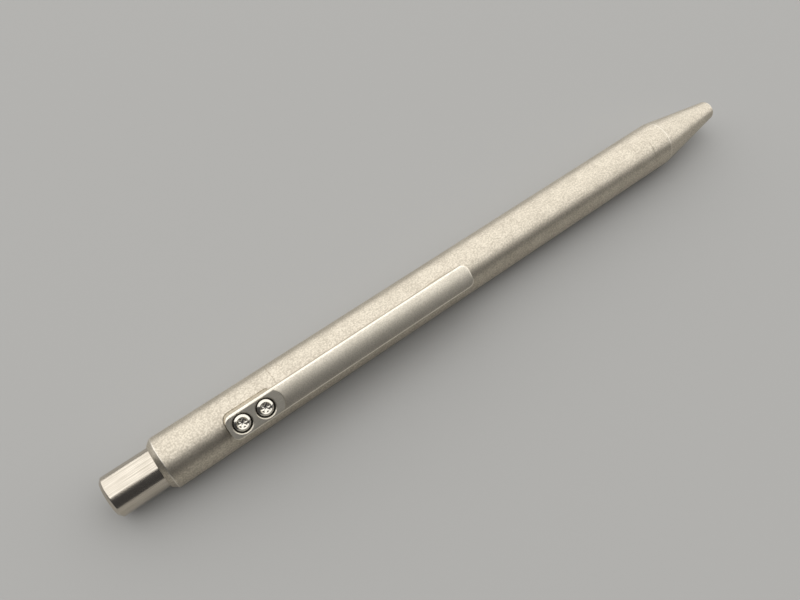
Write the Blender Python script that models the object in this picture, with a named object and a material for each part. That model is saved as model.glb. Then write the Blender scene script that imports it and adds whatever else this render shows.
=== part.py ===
"""Retractable titanium pen with a screwed-on pocket clip, modelled piece by piece.

Metres, +Z up. The pen lies along X with its writing end at +X. Every piece is modelled in the pen's own
frame, whose X axis is the pen's centre line and whose zero is the rear end face of the rear barrel; the
empty pen_frame places that frame in the world, so that the barrel rests on z = 0 and the origin lies under
the middle of the whole pen. The clip, its screws and its seat are turned about the centre line by CLIP_ROLL.
"""

import math

import bmesh
import bpy
from mathutils import Matrix, Vector

MM = 0.001

# Refill, the standard piece that the pen is built round
REFILL_LENGTH = 110.7 * MM
REFILL_DIAMETER = 6.1 * MM
REFILL_INSET = 1.2 * MM
REFILL_WALL = 0.7 * MM
REFILL_FIT = 0.05 * MM
REFILL_SEAT_GAP = 0.03 * MM
END_PLUG_LENGTH = 3.0 * MM
END_PLUG_SPIGOT_LENGTH = 4.0 * MM
END_PLUG_SOCKET_DIAMETER = 2.6 * MM
END_PLUG_SOCKET_DEPTH = 1.6 * MM
POINT_CONE_LENGTH = 2.6 * MM
POINT_DIAMETER = 2.3 * MM
POINT_SHANK_LENGTH = 4.0 * MM
POINT_SHANK_DIAMETER = 1.8 * MM
POINT_END_DIAMETER = 1.1 * MM
POINT_CHANNEL_DIAMETER = 0.5 * MM
BALL_DIAMETER = 0.7 * MM
BALL_CLEARANCE = 0.04 * MM
BALL_REACH = 0.2 * MM
HOLDER_TAPER_LENGTH = 2.4 * MM
HOLDER_TAPER_DEPTH = 0.65 * MM
HOLDER_COLLAR_LENGTH = 2.0 * MM
HOLDER_SPIGOT_LENGTH = 4.0 * MM
HOLDER_CHANNEL_DIAMETER = 1.4 * MM
INK_BORE_CLEARANCE = 0.05 * MM
INK_LENGTH = 48.0 * MM
FOLLOWER_LENGTH = 5.0 * MM

# Barrels, and the threaded joints between them and the nose cone
REAR_BARREL_LENGTH = 22.8 * MM
REAR_CHAMFER_LENGTH = 1.0 * MM
REAR_CHAMFER_DEPTH = 0.8 * MM
REAR_LIP = 0.15 * MM
STEM_SHOULDER_THICKNESS = 1.2 * MM
MECHANISM_BORE_CLEARANCE = 0.25 * MM
MAIN_BORE_CLEARANCE = 0.3 * MM
STUB_WALL = 0.6 * MM
SOCKET_WALL = 0.8 * MM
JOINT_LENGTH = 6.4 * MM
JOINT_CLEARANCE = 0.1 * MM
SEAM_GAP = 0.03 * MM
SEAM_CHAMFER = 0.12 * MM
RELIEF_LENGTH = 0.8 * MM
RELIEF_DEPTH = 0.2 * MM
O_RING_THICKNESS = 0.6 * MM
O_RING_CLEARANCE = 0.03 * MM
O_RING_STEPS = 8

# Nose cone
NOSE_COLLAR_LENGTH = 4.8 * MM
NOSE_CONE_LENGTH = 17.2 * MM
NOSE_END_DIAMETER = 4.0 * MM
NOSE_EDGE = 0.5 * MM
NOSE_HOLE_CLEARANCE = 0.15 * MM
NOSE_WALL_AT_HOLE = 7.2 * MM
SPRING_CHAMBER_LENGTH = 9.0 * MM
SPRING_CHAMBER_CLEARANCE = 0.15 * MM
HOLDER_CHAMBER_LENGTH = 1.8 * MM
HOLDER_CHAMBER_CLEARANCE = 0.25 * MM
CHAMBER_TAPER_LENGTH = 1.2 * MM

# Push button and the mechanism behind it
BUTTON_CLEARANCE = 0.1 * MM
BUTTON_BORE_SETBACK = 0.1 * MM
BUTTON_PROTRUSION = 8.9 * MM
BUTTON_CHAMFER_LENGTH = 0.55 * MM
BUTTON_CHAMFER_DEPTH = 0.6 * MM
BUTTON_CAP_THICKNESS = 2.9 * MM
BUTTON_STROKE = 5.6 * MM
STROKE_CLEARANCE = 0.3 * MM
HOLDER_STROKE_CLEARANCE = 0.4 * MM
LATCH_OVERTRAVEL = 0.7 * MM
STEM_DIAMETER = 4.2 * MM
STEM_FIT = 0.05 * MM
STEM_HOLE_CLEARANCE = 0.1 * MM
PLUNGER_BORE_DIAMETER = 1.6 * MM
CROWN_LENGTH = 3.6 * MM
CROWN_START_GAP = 0.1 * MM
CROWN_DIAMETER = 4.9 * MM
CROWN_PIN_DIAMETER = 2.4 * MM
CROWN_PIN_LENGTH = 3.0 * MM
CROWN_PIN_CLEARANCE = 0.1 * MM
CROWN_CLEARANCE = 0.15 * MM
LUG_COUNT = 4
LUG_HEIGHT = 0.45 * MM
LUG_CLEARANCE = 0.1 * MM
LUG_ANGLE = math.radians(30)
LUG_FLANK_ANGLE = math.radians(3)
SLOT_ANGLE_CLEARANCE = math.radians(6)
TOOTH_HEIGHT = 0.6 * MM
TOOTH_GAP = 0.25 * MM
SLEEVE_FIT = 0.05 * MM
ROTOR_RIB_LENGTH = 2.6 * MM
ROTOR_WAIST_DEPTH = 0.15 * MM
ROTOR_FOOT_DIAMETER = 5.4 * MM
ROTOR_FOOT_LENGTH = 1.2 * MM
ROTOR_FOOT_GAP = 1.35 * MM
ROTOR_SEAT_GAP = 0.05 * MM

# Return spring
SPRING_DIAMETER = 4.3 * MM
SPRING_WIRE_DIAMETER = 0.4 * MM
SPRING_TURNS = 13
SPRING_END_GAP = 0.05 * MM
SPRING_NECK_CLEARANCE = 0.2 * MM
SPRING_POINTS_PER_TURN = 8

# Pocket clip
CLIP_ROLL = math.radians(38.5)
CLIP_LENGTH = 51.0 * MM
CLIP_WIDTH = 4.6 * MM
CLIP_HEIGHT = 2.0 * MM
CLIP_THICKNESS = 1.2 * MM
CLIP_CROWN_RADIUS = 9.0 * MM
CLIP_CORNER_RADIUS = 1.3 * MM
CLIP_EDGE = 0.3 * MM
CLIP_FOOT_LENGTH = 8.6 * MM
CLIP_FOOT_FILLET = 0.6 * MM
CLIP_FOOT_DRAFT = 0.15 * MM
CLIP_SEAM_DISTANCE = 2.1 * MM
CLIP_SEAT_CLEARANCE = 0.1 * MM
CLIP_SEAT_DEPTH = 0.1 * MM
CLIP_SEAT_CORNER_RADIUS = 0.9 * MM
CLIP_SEAT_GAP = 0.02 * MM
LAND_DEPTH = 0.2 * MM
LAND_PAST_FOOT = 1.7 * MM
LAND_CUTTER_RADIUS = 2.4 * MM
BUMP_INSET = 2.2 * MM
BUMP_LENGTH = 7.3 * MM
BUMP_PEAK_SHARE = 0.36
BUMP_CLEARANCE = 0.1 * MM
CROWN_STEPS = 4
CORNER_STEPS = 4
FILLET_STEPS = 3
BUMP_STEPS = 10

# Clip screws
SCREW_REAR_INSET = 2.5 * MM
SCREW_FRONT_INSET = 1.7 * MM
SCREW_HEAD_DIAMETER = 2.96 * MM
SCREW_HEAD_HEIGHT = 0.95 * MM
SCREW_HEAD_RIM = 0.47 * MM
SCREW_HEAD_CLEARANCE = 0.22 * MM
SCREW_HEAD_PROUD = 0.2 * MM
SCREW_SHANK_DIAMETER = 1.6 * MM
SCREW_TIP_CLEARANCE = 0.07 * MM
SCREW_HOLE_CLEARANCE = 0.1 * MM
SCREW_SEAT_GAP = 0.02 * MM
SCREW_SOCKET_WIDTH = 1.3 * MM
SCREW_SOCKET_DEPTH = 0.5 * MM
SOCKET_SIDES = 6

# Shared by the cuts and the meshes
CUT_OVERRUN = 1.0 * MM
WELD_DISTANCE = 0.0005 * MM
SHARP_ANGLE = math.radians(30)
OUTER_STEPS = 24
INNER_STEPS = 24
SMALL_STEPS = 16
ARC_STEPS = 4

# Radii, from the refill outwards
REFILL_RADIUS = REFILL_DIAMETER / 2
REFILL_BORE_RADIUS = REFILL_RADIUS - REFILL_WALL
MECHANISM_BORE_RADIUS = REFILL_RADIUS + MECHANISM_BORE_CLEARANCE
MAIN_BORE_RADIUS = REFILL_RADIUS + MAIN_BORE_CLEARANCE
JOINT_RADIUS = MECHANISM_BORE_RADIUS + STUB_WALL
SOCKET_RADIUS = JOINT_RADIUS + JOINT_CLEARANCE
BARREL_RADIUS = SOCKET_RADIUS + SOCKET_WALL
BUTTON_BORE_RADIUS = BARREL_RADIUS - REAR_CHAMFER_DEPTH - REAR_LIP
BUTTON_RADIUS = BUTTON_BORE_RADIUS - BUTTON_CLEARANCE
CROWN_RADIUS = CROWN_DIAMETER / 2
LUG_RADIUS = CROWN_RADIUS + LUG_HEIGHT
NOSE_HOLE_RADIUS = POINT_DIAMETER / 2 + NOSE_HOLE_CLEARANCE
HOLDER_SHOULDER_RADIUS = REFILL_RADIUS - HOLDER_TAPER_DEPTH
HOLDER_NECK_RADIUS = SPRING_DIAMETER / 2 - SPRING_WIRE_DIAMETER - SPRING_NECK_CLEARANCE

# Places along the centre line, from the rear end face
REAR_SEAM = REAR_BARREL_LENGTH
REAR_STUB_END = REAR_SEAM + JOINT_LENGTH
REAR_SOCKET_END = REAR_STUB_END + O_RING_THICKNESS + 2 * O_RING_CLEARANCE
CLIP_FOOT_END = REAR_SEAM - CLIP_SEAM_DISTANCE
CLIP_START = CLIP_FOOT_END - CLIP_FOOT_LENGTH
CLIP_END = CLIP_START + CLIP_LENGTH
BUMP_START = CLIP_END - BUMP_INSET - BUMP_LENGTH
SCREW_PLACES = (CLIP_START + SCREW_REAR_INSET, CLIP_FOOT_END - SCREW_FRONT_INSET)
BUTTON_BORE_END = CLIP_START - BUTTON_BORE_SETBACK
BUTTON_FRONT = BUTTON_BORE_END - BUTTON_STROKE - STROKE_CLEARANCE
STEM_START = BUTTON_CAP_THICKNESS - BUTTON_PROTRUSION + STROKE_CLEARANCE
SLEEVE_START = BUTTON_BORE_END + STEM_SHOULDER_THICKNESS
CROWN_START = SLEEVE_START + CROWN_START_GAP
CROWN_END = CROWN_START + CROWN_LENGTH
SLEEVE_END = CROWN_END + BUTTON_STROKE - LATCH_OVERTRAVEL
ROTOR_FOOT_START = SLEEVE_END + ROTOR_FOOT_GAP
ROTOR_END = ROTOR_FOOT_START + ROTOR_FOOT_LENGTH
REFILL_REAR = ROTOR_END + ROTOR_SEAT_GAP
REFILL_TIP = REFILL_REAR + REFILL_LENGTH
NOSE_END = REFILL_TIP + REFILL_INSET
CONE_START = NOSE_END - NOSE_CONE_LENGTH
NOSE_SEAM = CONE_START - NOSE_COLLAR_LENGTH
NOSE_STUB_END = NOSE_SEAM - JOINT_LENGTH
NOSE_SOCKET_END = NOSE_STUB_END - O_RING_THICKNESS - 2 * O_RING_CLEARANCE
SPRING_SEAT = NOSE_END - NOSE_WALL_AT_HOLE
SPRING_CHAMBER_START = SPRING_SEAT - SPRING_CHAMBER_LENGTH
HOLDER_CHAMBER_START = SPRING_CHAMBER_START - HOLDER_CHAMBER_LENGTH
POINT_START = SPRING_SEAT - BUTTON_STROKE - HOLDER_STROKE_CLEARANCE
HOLDER_SHOULDER = HOLDER_CHAMBER_START - BUTTON_STROKE - HOLDER_STROKE_CLEARANCE
TUBE_END = HOLDER_SHOULDER - HOLDER_TAPER_LENGTH - HOLDER_COLLAR_LENGTH
TUBE_START = REFILL_REAR + END_PLUG_LENGTH
PEN_LENGTH = NOSE_END + BUTTON_PROTRUSION

# The clip, measured outwards from the centre line
CLIP_TOP = BARREL_RADIUS + CLIP_HEIGHT
CLIP_UNDERSIDE = CLIP_TOP - CLIP_THICKNESS
SEAT_HALF_WIDTH = CLIP_WIDTH / 2 + CLIP_SEAT_CLEARANCE
SEAT_HEIGHT = math.sqrt(BARREL_RADIUS**2 - SEAT_HALF_WIDTH**2) - CLIP_SEAT_DEPTH
FOOT_HEIGHT = SEAT_HEIGHT + CLIP_SEAT_GAP
LAND_HEIGHT = CLIP_TOP - LAND_DEPTH
COUNTERBORE_FLOOR = LAND_HEIGHT - SCREW_HEAD_HEIGHT + SCREW_HEAD_PROUD
COUNTERBORE_RADIUS = SCREW_HEAD_DIAMETER / 2 + SCREW_HEAD_CLEARANCE
SCREW_SEAT = COUNTERBORE_FLOOR + SCREW_SEAT_GAP
SCREW_LENGTH = SCREW_SEAT - MECHANISM_BORE_RADIUS - SCREW_TIP_CLEARANCE
SCREW_HOLE_RADIUS = SCREW_SHANK_DIAMETER / 2 + SCREW_HOLE_CLEARANCE


def clear_scene():
    for obj in list(bpy.data.objects):
        bpy.data.objects.remove(obj, do_unlink=True)


def make_material(name, colour, metallic, roughness):
    material = bpy.data.materials.new(name)
    material.use_nodes = True
    shader = material.node_tree.nodes["Principled BSDF"]
    shader.inputs["Base Color"].default_value = (*colour, 1)
    shader.inputs["Metallic"].default_value = metallic
    shader.inputs["Roughness"].default_value = roughness
    return material


def make_materials():
    return {
        "titanium": make_material("blasted_titanium", (0.50, 0.46, 0.40), 1, 0.5),
        "clip": make_material("tumbled_titanium", (0.48, 0.45, 0.40), 1, 0.45),
        "button": make_material("polished_titanium", (0.62, 0.58, 0.52), 1, 0.12),
        "steel": make_material("polished_steel", (0.72, 0.70, 0.66), 1, 0.15),
        "spring": make_material("spring_steel", (0.60, 0.60, 0.60), 1, 0.25),
        "acetal": make_material("white_acetal", (0.75, 0.75, 0.72), 0, 0.4),
        "rubber": make_material("black_nitrile", (0.02, 0.02, 0.02), 0, 0.7),
        "tube": make_material("clear_polypropylene", (0.75, 0.78, 0.80), 0, 0.2),
        "plug": make_material("grey_polypropylene", (0.25, 0.26, 0.28), 0, 0.4),
        "ink": make_material("black_gel", (0.01, 0.01, 0.015), 0, 0.3),
        "grease": make_material("clear_grease", (0.70, 0.62, 0.35), 0, 0.2),
        "carbide": make_material("tungsten_carbide", (0.45, 0.45, 0.47), 1, 0.2),
    }


def make_empty(name, parent=None):
    empty = bpy.data.objects.new(name, None)
    bpy.context.scene.collection.objects.link(empty)
    empty.parent = parent
    return empty


def finish_mesh(bm, name, material, parent, sharp=SHARP_ANGLE):
    """Welds, faces outwards, shades smooth up to the sharp angle, and links the object."""
    bmesh.ops.remove_doubles(bm, verts=bm.verts, dist=WELD_DISTANCE)
    bmesh.ops.dissolve_degenerate(bm, edges=bm.edges, dist=WELD_DISTANCE)
    bmesh.ops.recalc_face_normals(bm, faces=bm.faces)
    mesh = bpy.data.meshes.new(name)
    bm.to_mesh(mesh)
    bm.free()
    mesh.shade_smooth()
    mesh.set_sharp_from_angle(angle=sharp)
    if material:
        mesh.materials.append(material)
    obj = bpy.data.objects.new(name, mesh)
    bpy.context.scene.collection.objects.link(obj)
    obj.parent = parent
    return obj


def turned(name, profile, material, parent, steps):
    """A solid turned about X from a closed outline of (x, radius) points."""
    bm = bmesh.new()
    # Half a step of turn puts a flat of the outline straight below the centre line.
    start = Matrix.Rotation(math.pi / steps, 3, "X")
    verts = [bm.verts.new(start @ Vector((x, 0, radius))) for x, radius in profile]
    pairs = zip(verts, verts[1:] + verts[:1])
    # An edge that lies on the centre line would only spin into slivers.
    edges = [bm.edges.new(pair) for pair in pairs if any(vert.co.yz.length > WELD_DISTANCE for vert in pair)]
    bmesh.ops.spin(
        bm, geom=verts + edges, axis=(1, 0, 0), cent=(0, 0, 0), angle=2 * math.pi, steps=steps, use_merge=True
    )
    return finish_mesh(bm, name, material, parent)


def wave_solid(name, sections, material, parent):
    """A closed ring through sections given as (angle, outline of (x, radius) points), all of one length."""
    bm = bmesh.new()
    loops = []
    for angle, outline in sections:
        turn = Matrix.Rotation(angle, 3, "X")
        loops.append([bm.verts.new(turn @ Vector((x, 0, radius))) for x, radius in outline])
    join_loops(bm, loops + loops[:1])
    return finish_mesh(bm, name, material, parent)


def join_loops(bm, loops):
    for one, two in zip(loops, loops[1:]):
        for i in range(len(one)):
            j = (i + 1) % len(one)
            bm.faces.new((one[i], one[j], two[j], two[i]))


def arc(centre, radius, start, end, steps):
    """Points (x, y) on an arc about the centre, angles in radians."""
    return [
        (
            centre[0] + radius * math.cos(start + (end - start) * i / steps),
            centre[1] + radius * math.sin(start + (end - start) * i / steps),
        )
        for i in range(steps + 1)
    ]


def cutter_prism(name, outline, low, high, parent):
    """A hidden prism along Z for a Boolean, from an outline of (x, y) points."""
    bm = bmesh.new()
    loops = [[bm.verts.new((x, y, z)) for x, y in outline] for z in (low, high)]
    join_loops(bm, loops)
    bm.faces.new(loops[0])
    bm.faces.new(loops[1])
    return hide_cutter(finish_mesh(bm, name, None, parent))


def hide_cutter(obj):
    obj.hide_render = True
    obj.display_type = "WIRE"
    return obj


def circle_outline(x, y, radius, steps):
    return arc((x, y), radius, 0, 2 * math.pi * (steps - 1) / steps, steps - 1)


def cut(target, cutter):
    boolean = target.modifiers.new("cut_" + cutter.name, "BOOLEAN")
    boolean.operation = "DIFFERENCE"
    boolean.object = cutter


def build_rear_barrel(materials, pen, clip_frame):
    stem_hole = STEM_DIAMETER / 2 + STEM_HOLE_CLEARANCE
    barrel = turned(
        "rear_barrel",
        [
            (0, BUTTON_BORE_RADIUS),
            (0, BARREL_RADIUS - REAR_CHAMFER_DEPTH),
            (REAR_CHAMFER_LENGTH, BARREL_RADIUS),
            (REAR_SEAM - SEAM_CHAMFER, BARREL_RADIUS),
            (REAR_SEAM, BARREL_RADIUS - SEAM_CHAMFER),
            (REAR_SEAM, JOINT_RADIUS - RELIEF_DEPTH),
            (REAR_SEAM + RELIEF_LENGTH, JOINT_RADIUS - RELIEF_DEPTH),
            (REAR_SEAM + RELIEF_LENGTH + RELIEF_DEPTH, JOINT_RADIUS),
            (REAR_STUB_END - RELIEF_DEPTH, JOINT_RADIUS),
            (REAR_STUB_END, JOINT_RADIUS - RELIEF_DEPTH),
            (REAR_STUB_END, MECHANISM_BORE_RADIUS),
            (SLEEVE_START, MECHANISM_BORE_RADIUS),
            (SLEEVE_START, stem_hole),
            (BUTTON_BORE_END, stem_hole),
            (BUTTON_BORE_END, BUTTON_BORE_RADIUS),
        ],
        materials["titanium"],
        pen,
        OUTER_STEPS,
    )
    # The foot of the clip sits in a flat seat with rounded corners, which ends a little in front of the foot.
    seat = cutter_prism(
        "seat_cutter",
        clip_plan(CLIP_SEAT_CLEARANCE, CLIP_FOOT_END + CLIP_FOOT_FILLET),
        SEAT_HEIGHT,
        BARREL_RADIUS + CUT_OVERRUN,
        clip_frame,
    )
    cut(barrel, seat)
    for index, place in enumerate(SCREW_PLACES):
        hole = cutter_prism(
            f"barrel_screw_hole_{index + 1}",
            circle_outline(place, 0, SCREW_HOLE_RADIUS, SMALL_STEPS),
            MECHANISM_BORE_RADIUS - CUT_OVERRUN,
            BARREL_RADIUS + CUT_OVERRUN,
            clip_frame,
        )
        cut(barrel, hole)
    return barrel


def build_front_barrel(materials, pen):
    return turned(
        "front_barrel",
        [
            (REAR_SEAM + SEAM_GAP, SOCKET_RADIUS),
            (REAR_SEAM + SEAM_GAP, BARREL_RADIUS - SEAM_CHAMFER),
            (REAR_SEAM + SEAM_GAP + SEAM_CHAMFER, BARREL_RADIUS),
            (NOSE_SEAM - SEAM_GAP - SEAM_CHAMFER, BARREL_RADIUS),
            (NOSE_SEAM - SEAM_GAP, BARREL_RADIUS - SEAM_CHAMFER),
            (NOSE_SEAM - SEAM_GAP, SOCKET_RADIUS),
            (NOSE_SOCKET_END, SOCKET_RADIUS),
            (NOSE_SOCKET_END, MAIN_BORE_RADIUS),
            (REAR_SOCKET_END, MAIN_BORE_RADIUS),
            (REAR_SOCKET_END, SOCKET_RADIUS),
        ],
        materials["titanium"],
        pen,
        OUTER_STEPS,
    )


def build_nose_cone(materials, pen):
    spring_chamber = SPRING_DIAMETER / 2 + SPRING_CHAMBER_CLEARANCE
    holder_chamber = HOLDER_SHOULDER_RADIUS + HOLDER_CHAMBER_CLEARANCE
    end = NOSE_END_DIAMETER / 2
    slope = math.atan2(BARREL_RADIUS - end, NOSE_CONE_LENGTH)
    # The end's rounding is tangent to the cone and to the flat end face.
    centre = (NOSE_END - NOSE_EDGE, end + NOSE_EDGE * math.tan(slope) - NOSE_EDGE / math.cos(slope))
    return turned(
        "nose_cone",
        [
            (NOSE_STUB_END, MECHANISM_BORE_RADIUS),
            (NOSE_STUB_END, JOINT_RADIUS - RELIEF_DEPTH),
            (NOSE_STUB_END + RELIEF_DEPTH, JOINT_RADIUS),
            (NOSE_SEAM - RELIEF_LENGTH - RELIEF_DEPTH, JOINT_RADIUS),
            (NOSE_SEAM - RELIEF_LENGTH, JOINT_RADIUS - RELIEF_DEPTH),
            (NOSE_SEAM, JOINT_RADIUS - RELIEF_DEPTH),
            (NOSE_SEAM, BARREL_RADIUS - SEAM_CHAMFER),
            (NOSE_SEAM + SEAM_CHAMFER, BARREL_RADIUS),
            (CONE_START, BARREL_RADIUS),
            *arc(centre, NOSE_EDGE, math.pi / 2 - slope, 0, ARC_STEPS),
            (NOSE_END, NOSE_HOLE_RADIUS),
            (SPRING_SEAT, NOSE_HOLE_RADIUS),
            (SPRING_SEAT, spring_chamber),
            (SPRING_CHAMBER_START, spring_chamber),
            (SPRING_CHAMBER_START, holder_chamber),
            (HOLDER_CHAMBER_START, holder_chamber),
            (HOLDER_CHAMBER_START - CHAMBER_TAPER_LENGTH, MECHANISM_BORE_RADIUS),
        ],
        materials["titanium"],
        pen,
        OUTER_STEPS,
    )


def build_push_button(materials, pen):
    bore = STEM_DIAMETER / 2 + STEM_FIT
    rear = -BUTTON_PROTRUSION
    return turned(
        "push_button",
        [
            (rear, 0),
            (rear, BUTTON_RADIUS - BUTTON_CHAMFER_DEPTH),
            (rear + BUTTON_CHAMFER_LENGTH, BUTTON_RADIUS),
            (BUTTON_FRONT, BUTTON_RADIUS),
            (BUTTON_FRONT, bore),
            (rear + BUTTON_CAP_THICKNESS, bore),
            (rear + BUTTON_CAP_THICKNESS, 0),
        ],
        materials["button"],
        pen,
        OUTER_STEPS,
    )


def tooth(angle):
    """Share of the tooth height cut back at an angle: 1 at each lug's middle and halfway between the lugs."""
    pitch = math.pi / LUG_COUNT
    turn = angle % pitch
    return abs(2 * turn / pitch - 1)


def lug_share(angle, half_width):
    """1 on a lug, 0 between lugs, with a short slanted flank."""
    pitch = 2 * math.pi / LUG_COUNT
    turn = abs((angle + pitch / 2) % pitch - pitch / 2)
    return min(max((half_width + LUG_FLANK_ANGLE - turn) / LUG_FLANK_ANGLE, 0), 1)


def lug_angles(half_width):
    """Angles round the part: tooth tips and valleys, and both ends of each lug's flanks."""
    pitch = 2 * math.pi / LUG_COUNT
    found = []
    for lug in range(LUG_COUNT):
        found += [pitch * (lug + quarter / 4) for quarter in range(4)]
        for reach in (half_width, half_width + LUG_FLANK_ANGLE):
            found += [pitch * lug + reach, pitch * (lug + 1) - reach]
    for step in range(INNER_STEPS):
        angle = 2 * math.pi * step / INNER_STEPS
        if min(abs(angle - known) for known in found) > LUG_FLANK_ANGLE:
            found.append(angle)
    return sorted(found)


def build_plunger(materials, pen):
    bore = PLUNGER_BORE_DIAMETER / 2
    stem = STEM_DIAMETER / 2
    pin = CROWN_PIN_DIAMETER / 2
    sections = []
    for angle in lug_angles(LUG_ANGLE / 2):
        share = lug_share(angle, LUG_ANGLE / 2)
        crown = CROWN_RADIUS + share * LUG_HEIGHT
        face = CROWN_END - TOOTH_HEIGHT * tooth(angle)
        sections.append(
            (
                angle,
                [
                    (STEM_START, bore),
                    (STEM_START, stem),
                    (CROWN_START, stem),
                    (CROWN_START, crown),
                    (face, crown),
                    (face, pin),
                    (CROWN_END + CROWN_PIN_LENGTH, pin),
                    (CROWN_END + CROWN_PIN_LENGTH, bore),
                ],
            )
        )
    return wave_solid("plunger", sections, materials["acetal"], pen)


def build_ratchet_sleeve(materials, pen):
    """The fixed sleeve: slots for the lugs, between lands whose sloped front ends hold the rotor's ribs."""
    half_slot = (LUG_ANGLE + SLOT_ANGLE_CLEARANCE) / 2 + LUG_FLANK_ANGLE
    outer = MECHANISM_BORE_RADIUS - SLEEVE_FIT
    land = CROWN_RADIUS + CROWN_CLEARANCE
    slot = LUG_RADIUS + LUG_CLEARANCE
    sections = []
    for angle in lug_angles(half_slot):
        share = lug_share(angle, half_slot)
        inner = land + share * (slot - land)
        face = SLEEVE_END - TOOTH_HEIGHT * tooth(angle)
        outline = [(SLEEVE_START, inner), (SLEEVE_START, outer), (face, outer), (face, inner)]
        sections.append((angle, outline))
    return wave_solid("ratchet_sleeve", sections, materials["acetal"], pen)


def build_rotor(materials, pen):
    bore = CROWN_PIN_DIAMETER / 2 + CROWN_PIN_CLEARANCE
    waist = CROWN_RADIUS - ROTOR_WAIST_DEPTH
    foot = ROTOR_FOOT_DIAMETER / 2
    rib_end = CROWN_END + ROTOR_RIB_LENGTH
    sections = []
    for angle in lug_angles(LUG_ANGLE / 2):
        share = lug_share(angle, LUG_ANGLE / 2)
        rib = CROWN_RADIUS + share * LUG_HEIGHT
        face = CROWN_END + TOOTH_GAP - TOOTH_HEIGHT * tooth(angle)
        sections.append(
            (
                angle,
                [
                    (face, bore),
                    (face, rib),
                    (rib_end, rib),
                    (rib_end, waist),
                    (ROTOR_FOOT_START, waist),
                    (ROTOR_FOOT_START, foot),
                    (ROTOR_END, foot),
                    (ROTOR_END, bore),
                ],
            )
        )
    return wave_solid("indexing_rotor", sections, materials["acetal"], pen)


def build_o_ring(name, centre, materials, pen):
    middle = (MAIN_BORE_RADIUS + SOCKET_RADIUS) / 2
    outline = circle_outline(centre, middle, O_RING_THICKNESS / 2, O_RING_STEPS)
    return turned(name, outline, materials["rubber"], pen, OUTER_STEPS)


def build_refill_shell(materials, pen):
    """The refill's tube, the plug in its rear end and the holder of its point."""
    spigot = REFILL_BORE_RADIUS - REFILL_FIT
    socket = END_PLUG_SOCKET_DIAMETER / 2
    turned(
        "refill_tube",
        [
            (TUBE_START, REFILL_BORE_RADIUS),
            (TUBE_START, REFILL_RADIUS),
            (TUBE_END, REFILL_RADIUS),
            (TUBE_END, REFILL_BORE_RADIUS),
        ],
        materials["tube"],
        pen,
        INNER_STEPS,
    )
    turned(
        "refill_end_plug",
        [
            (REFILL_REAR, socket),
            (REFILL_REAR, REFILL_RADIUS),
            (TUBE_START - REFILL_SEAT_GAP, REFILL_RADIUS),
            (TUBE_START - REFILL_SEAT_GAP, spigot),
            (TUBE_START + END_PLUG_SPIGOT_LENGTH, spigot),
            (TUBE_START + END_PLUG_SPIGOT_LENGTH, 0),
            (REFILL_REAR + END_PLUG_SOCKET_DEPTH, 0),
            (REFILL_REAR + END_PLUG_SOCKET_DEPTH, socket),
        ],
        materials["plug"],
        pen,
        INNER_STEPS,
    )
    shank_hole = POINT_SHANK_DIAMETER / 2 + REFILL_FIT
    shank_floor = POINT_START - POINT_SHANK_LENGTH - REFILL_SEAT_GAP
    channel = HOLDER_CHANNEL_DIAMETER / 2
    turned(
        "refill_tip_holder",
        [
            (POINT_START - REFILL_SEAT_GAP, shank_hole),
            (shank_floor, shank_hole),
            (shank_floor, channel),
            (TUBE_END - HOLDER_SPIGOT_LENGTH, channel),
            (TUBE_END - HOLDER_SPIGOT_LENGTH, spigot),
            (TUBE_END + REFILL_SEAT_GAP, spigot),
            (TUBE_END + REFILL_SEAT_GAP, REFILL_RADIUS),
            (TUBE_END + HOLDER_COLLAR_LENGTH, REFILL_RADIUS),
            (HOLDER_SHOULDER, HOLDER_SHOULDER_RADIUS),
            (HOLDER_SHOULDER, HOLDER_NECK_RADIUS),
            (POINT_START - REFILL_SEAT_GAP, HOLDER_NECK_RADIUS),
        ],
        materials["tube"],
        pen,
        INNER_STEPS,
    )


def build_refill_point(materials, pen):
    """The metal point and the ball in its socket."""
    shank = POINT_SHANK_DIAMETER / 2
    shank_start = POINT_START - POINT_SHANK_LENGTH
    point = POINT_DIAMETER / 2
    channel = POINT_CHANNEL_DIAMETER / 2
    ball = BALL_DIAMETER / 2
    rim = REFILL_TIP - BALL_REACH
    socket_floor = REFILL_TIP - BALL_DIAMETER - BALL_CLEARANCE
    turned(
        "refill_point",
        [
            (shank_start, channel),
            (shank_start, shank),
            (POINT_START, shank),
            (POINT_START, point),
            (REFILL_TIP - POINT_CONE_LENGTH, point),
            (rim, POINT_END_DIAMETER / 2),
            (rim, ball + BALL_CLEARANCE),
            (socket_floor, ball + BALL_CLEARANCE),
            (socket_floor, channel),
        ],
        materials["steel"],
        pen,
        INNER_STEPS,
    )
    turned(
        "refill_ball",
        arc((REFILL_TIP - ball, 0), ball, math.pi, 0, SMALL_STEPS // 2),
        materials["carbide"],
        pen,
        SMALL_STEPS,
    )


def build_refill_filling(materials, pen):
    """The ink behind the point, and the grease that follows it up the tube."""
    radius = REFILL_BORE_RADIUS - INK_BORE_CLEARANCE
    ink_end = TUBE_END - HOLDER_SPIGOT_LENGTH - REFILL_SEAT_GAP
    ink_start = ink_end - INK_LENGTH
    grease_end = ink_start - REFILL_SEAT_GAP
    grease_start = grease_end - FOLLOWER_LENGTH
    for name, start, end, material in (
        ("ink_column", ink_start, ink_end, "ink"),
        ("grease_follower", grease_start, grease_end, "grease"),
    ):
        outline = [(start, 0), (start, radius), (end, radius), (end, 0)]
        turned(name, outline, materials[material], pen, INNER_STEPS)


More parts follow.
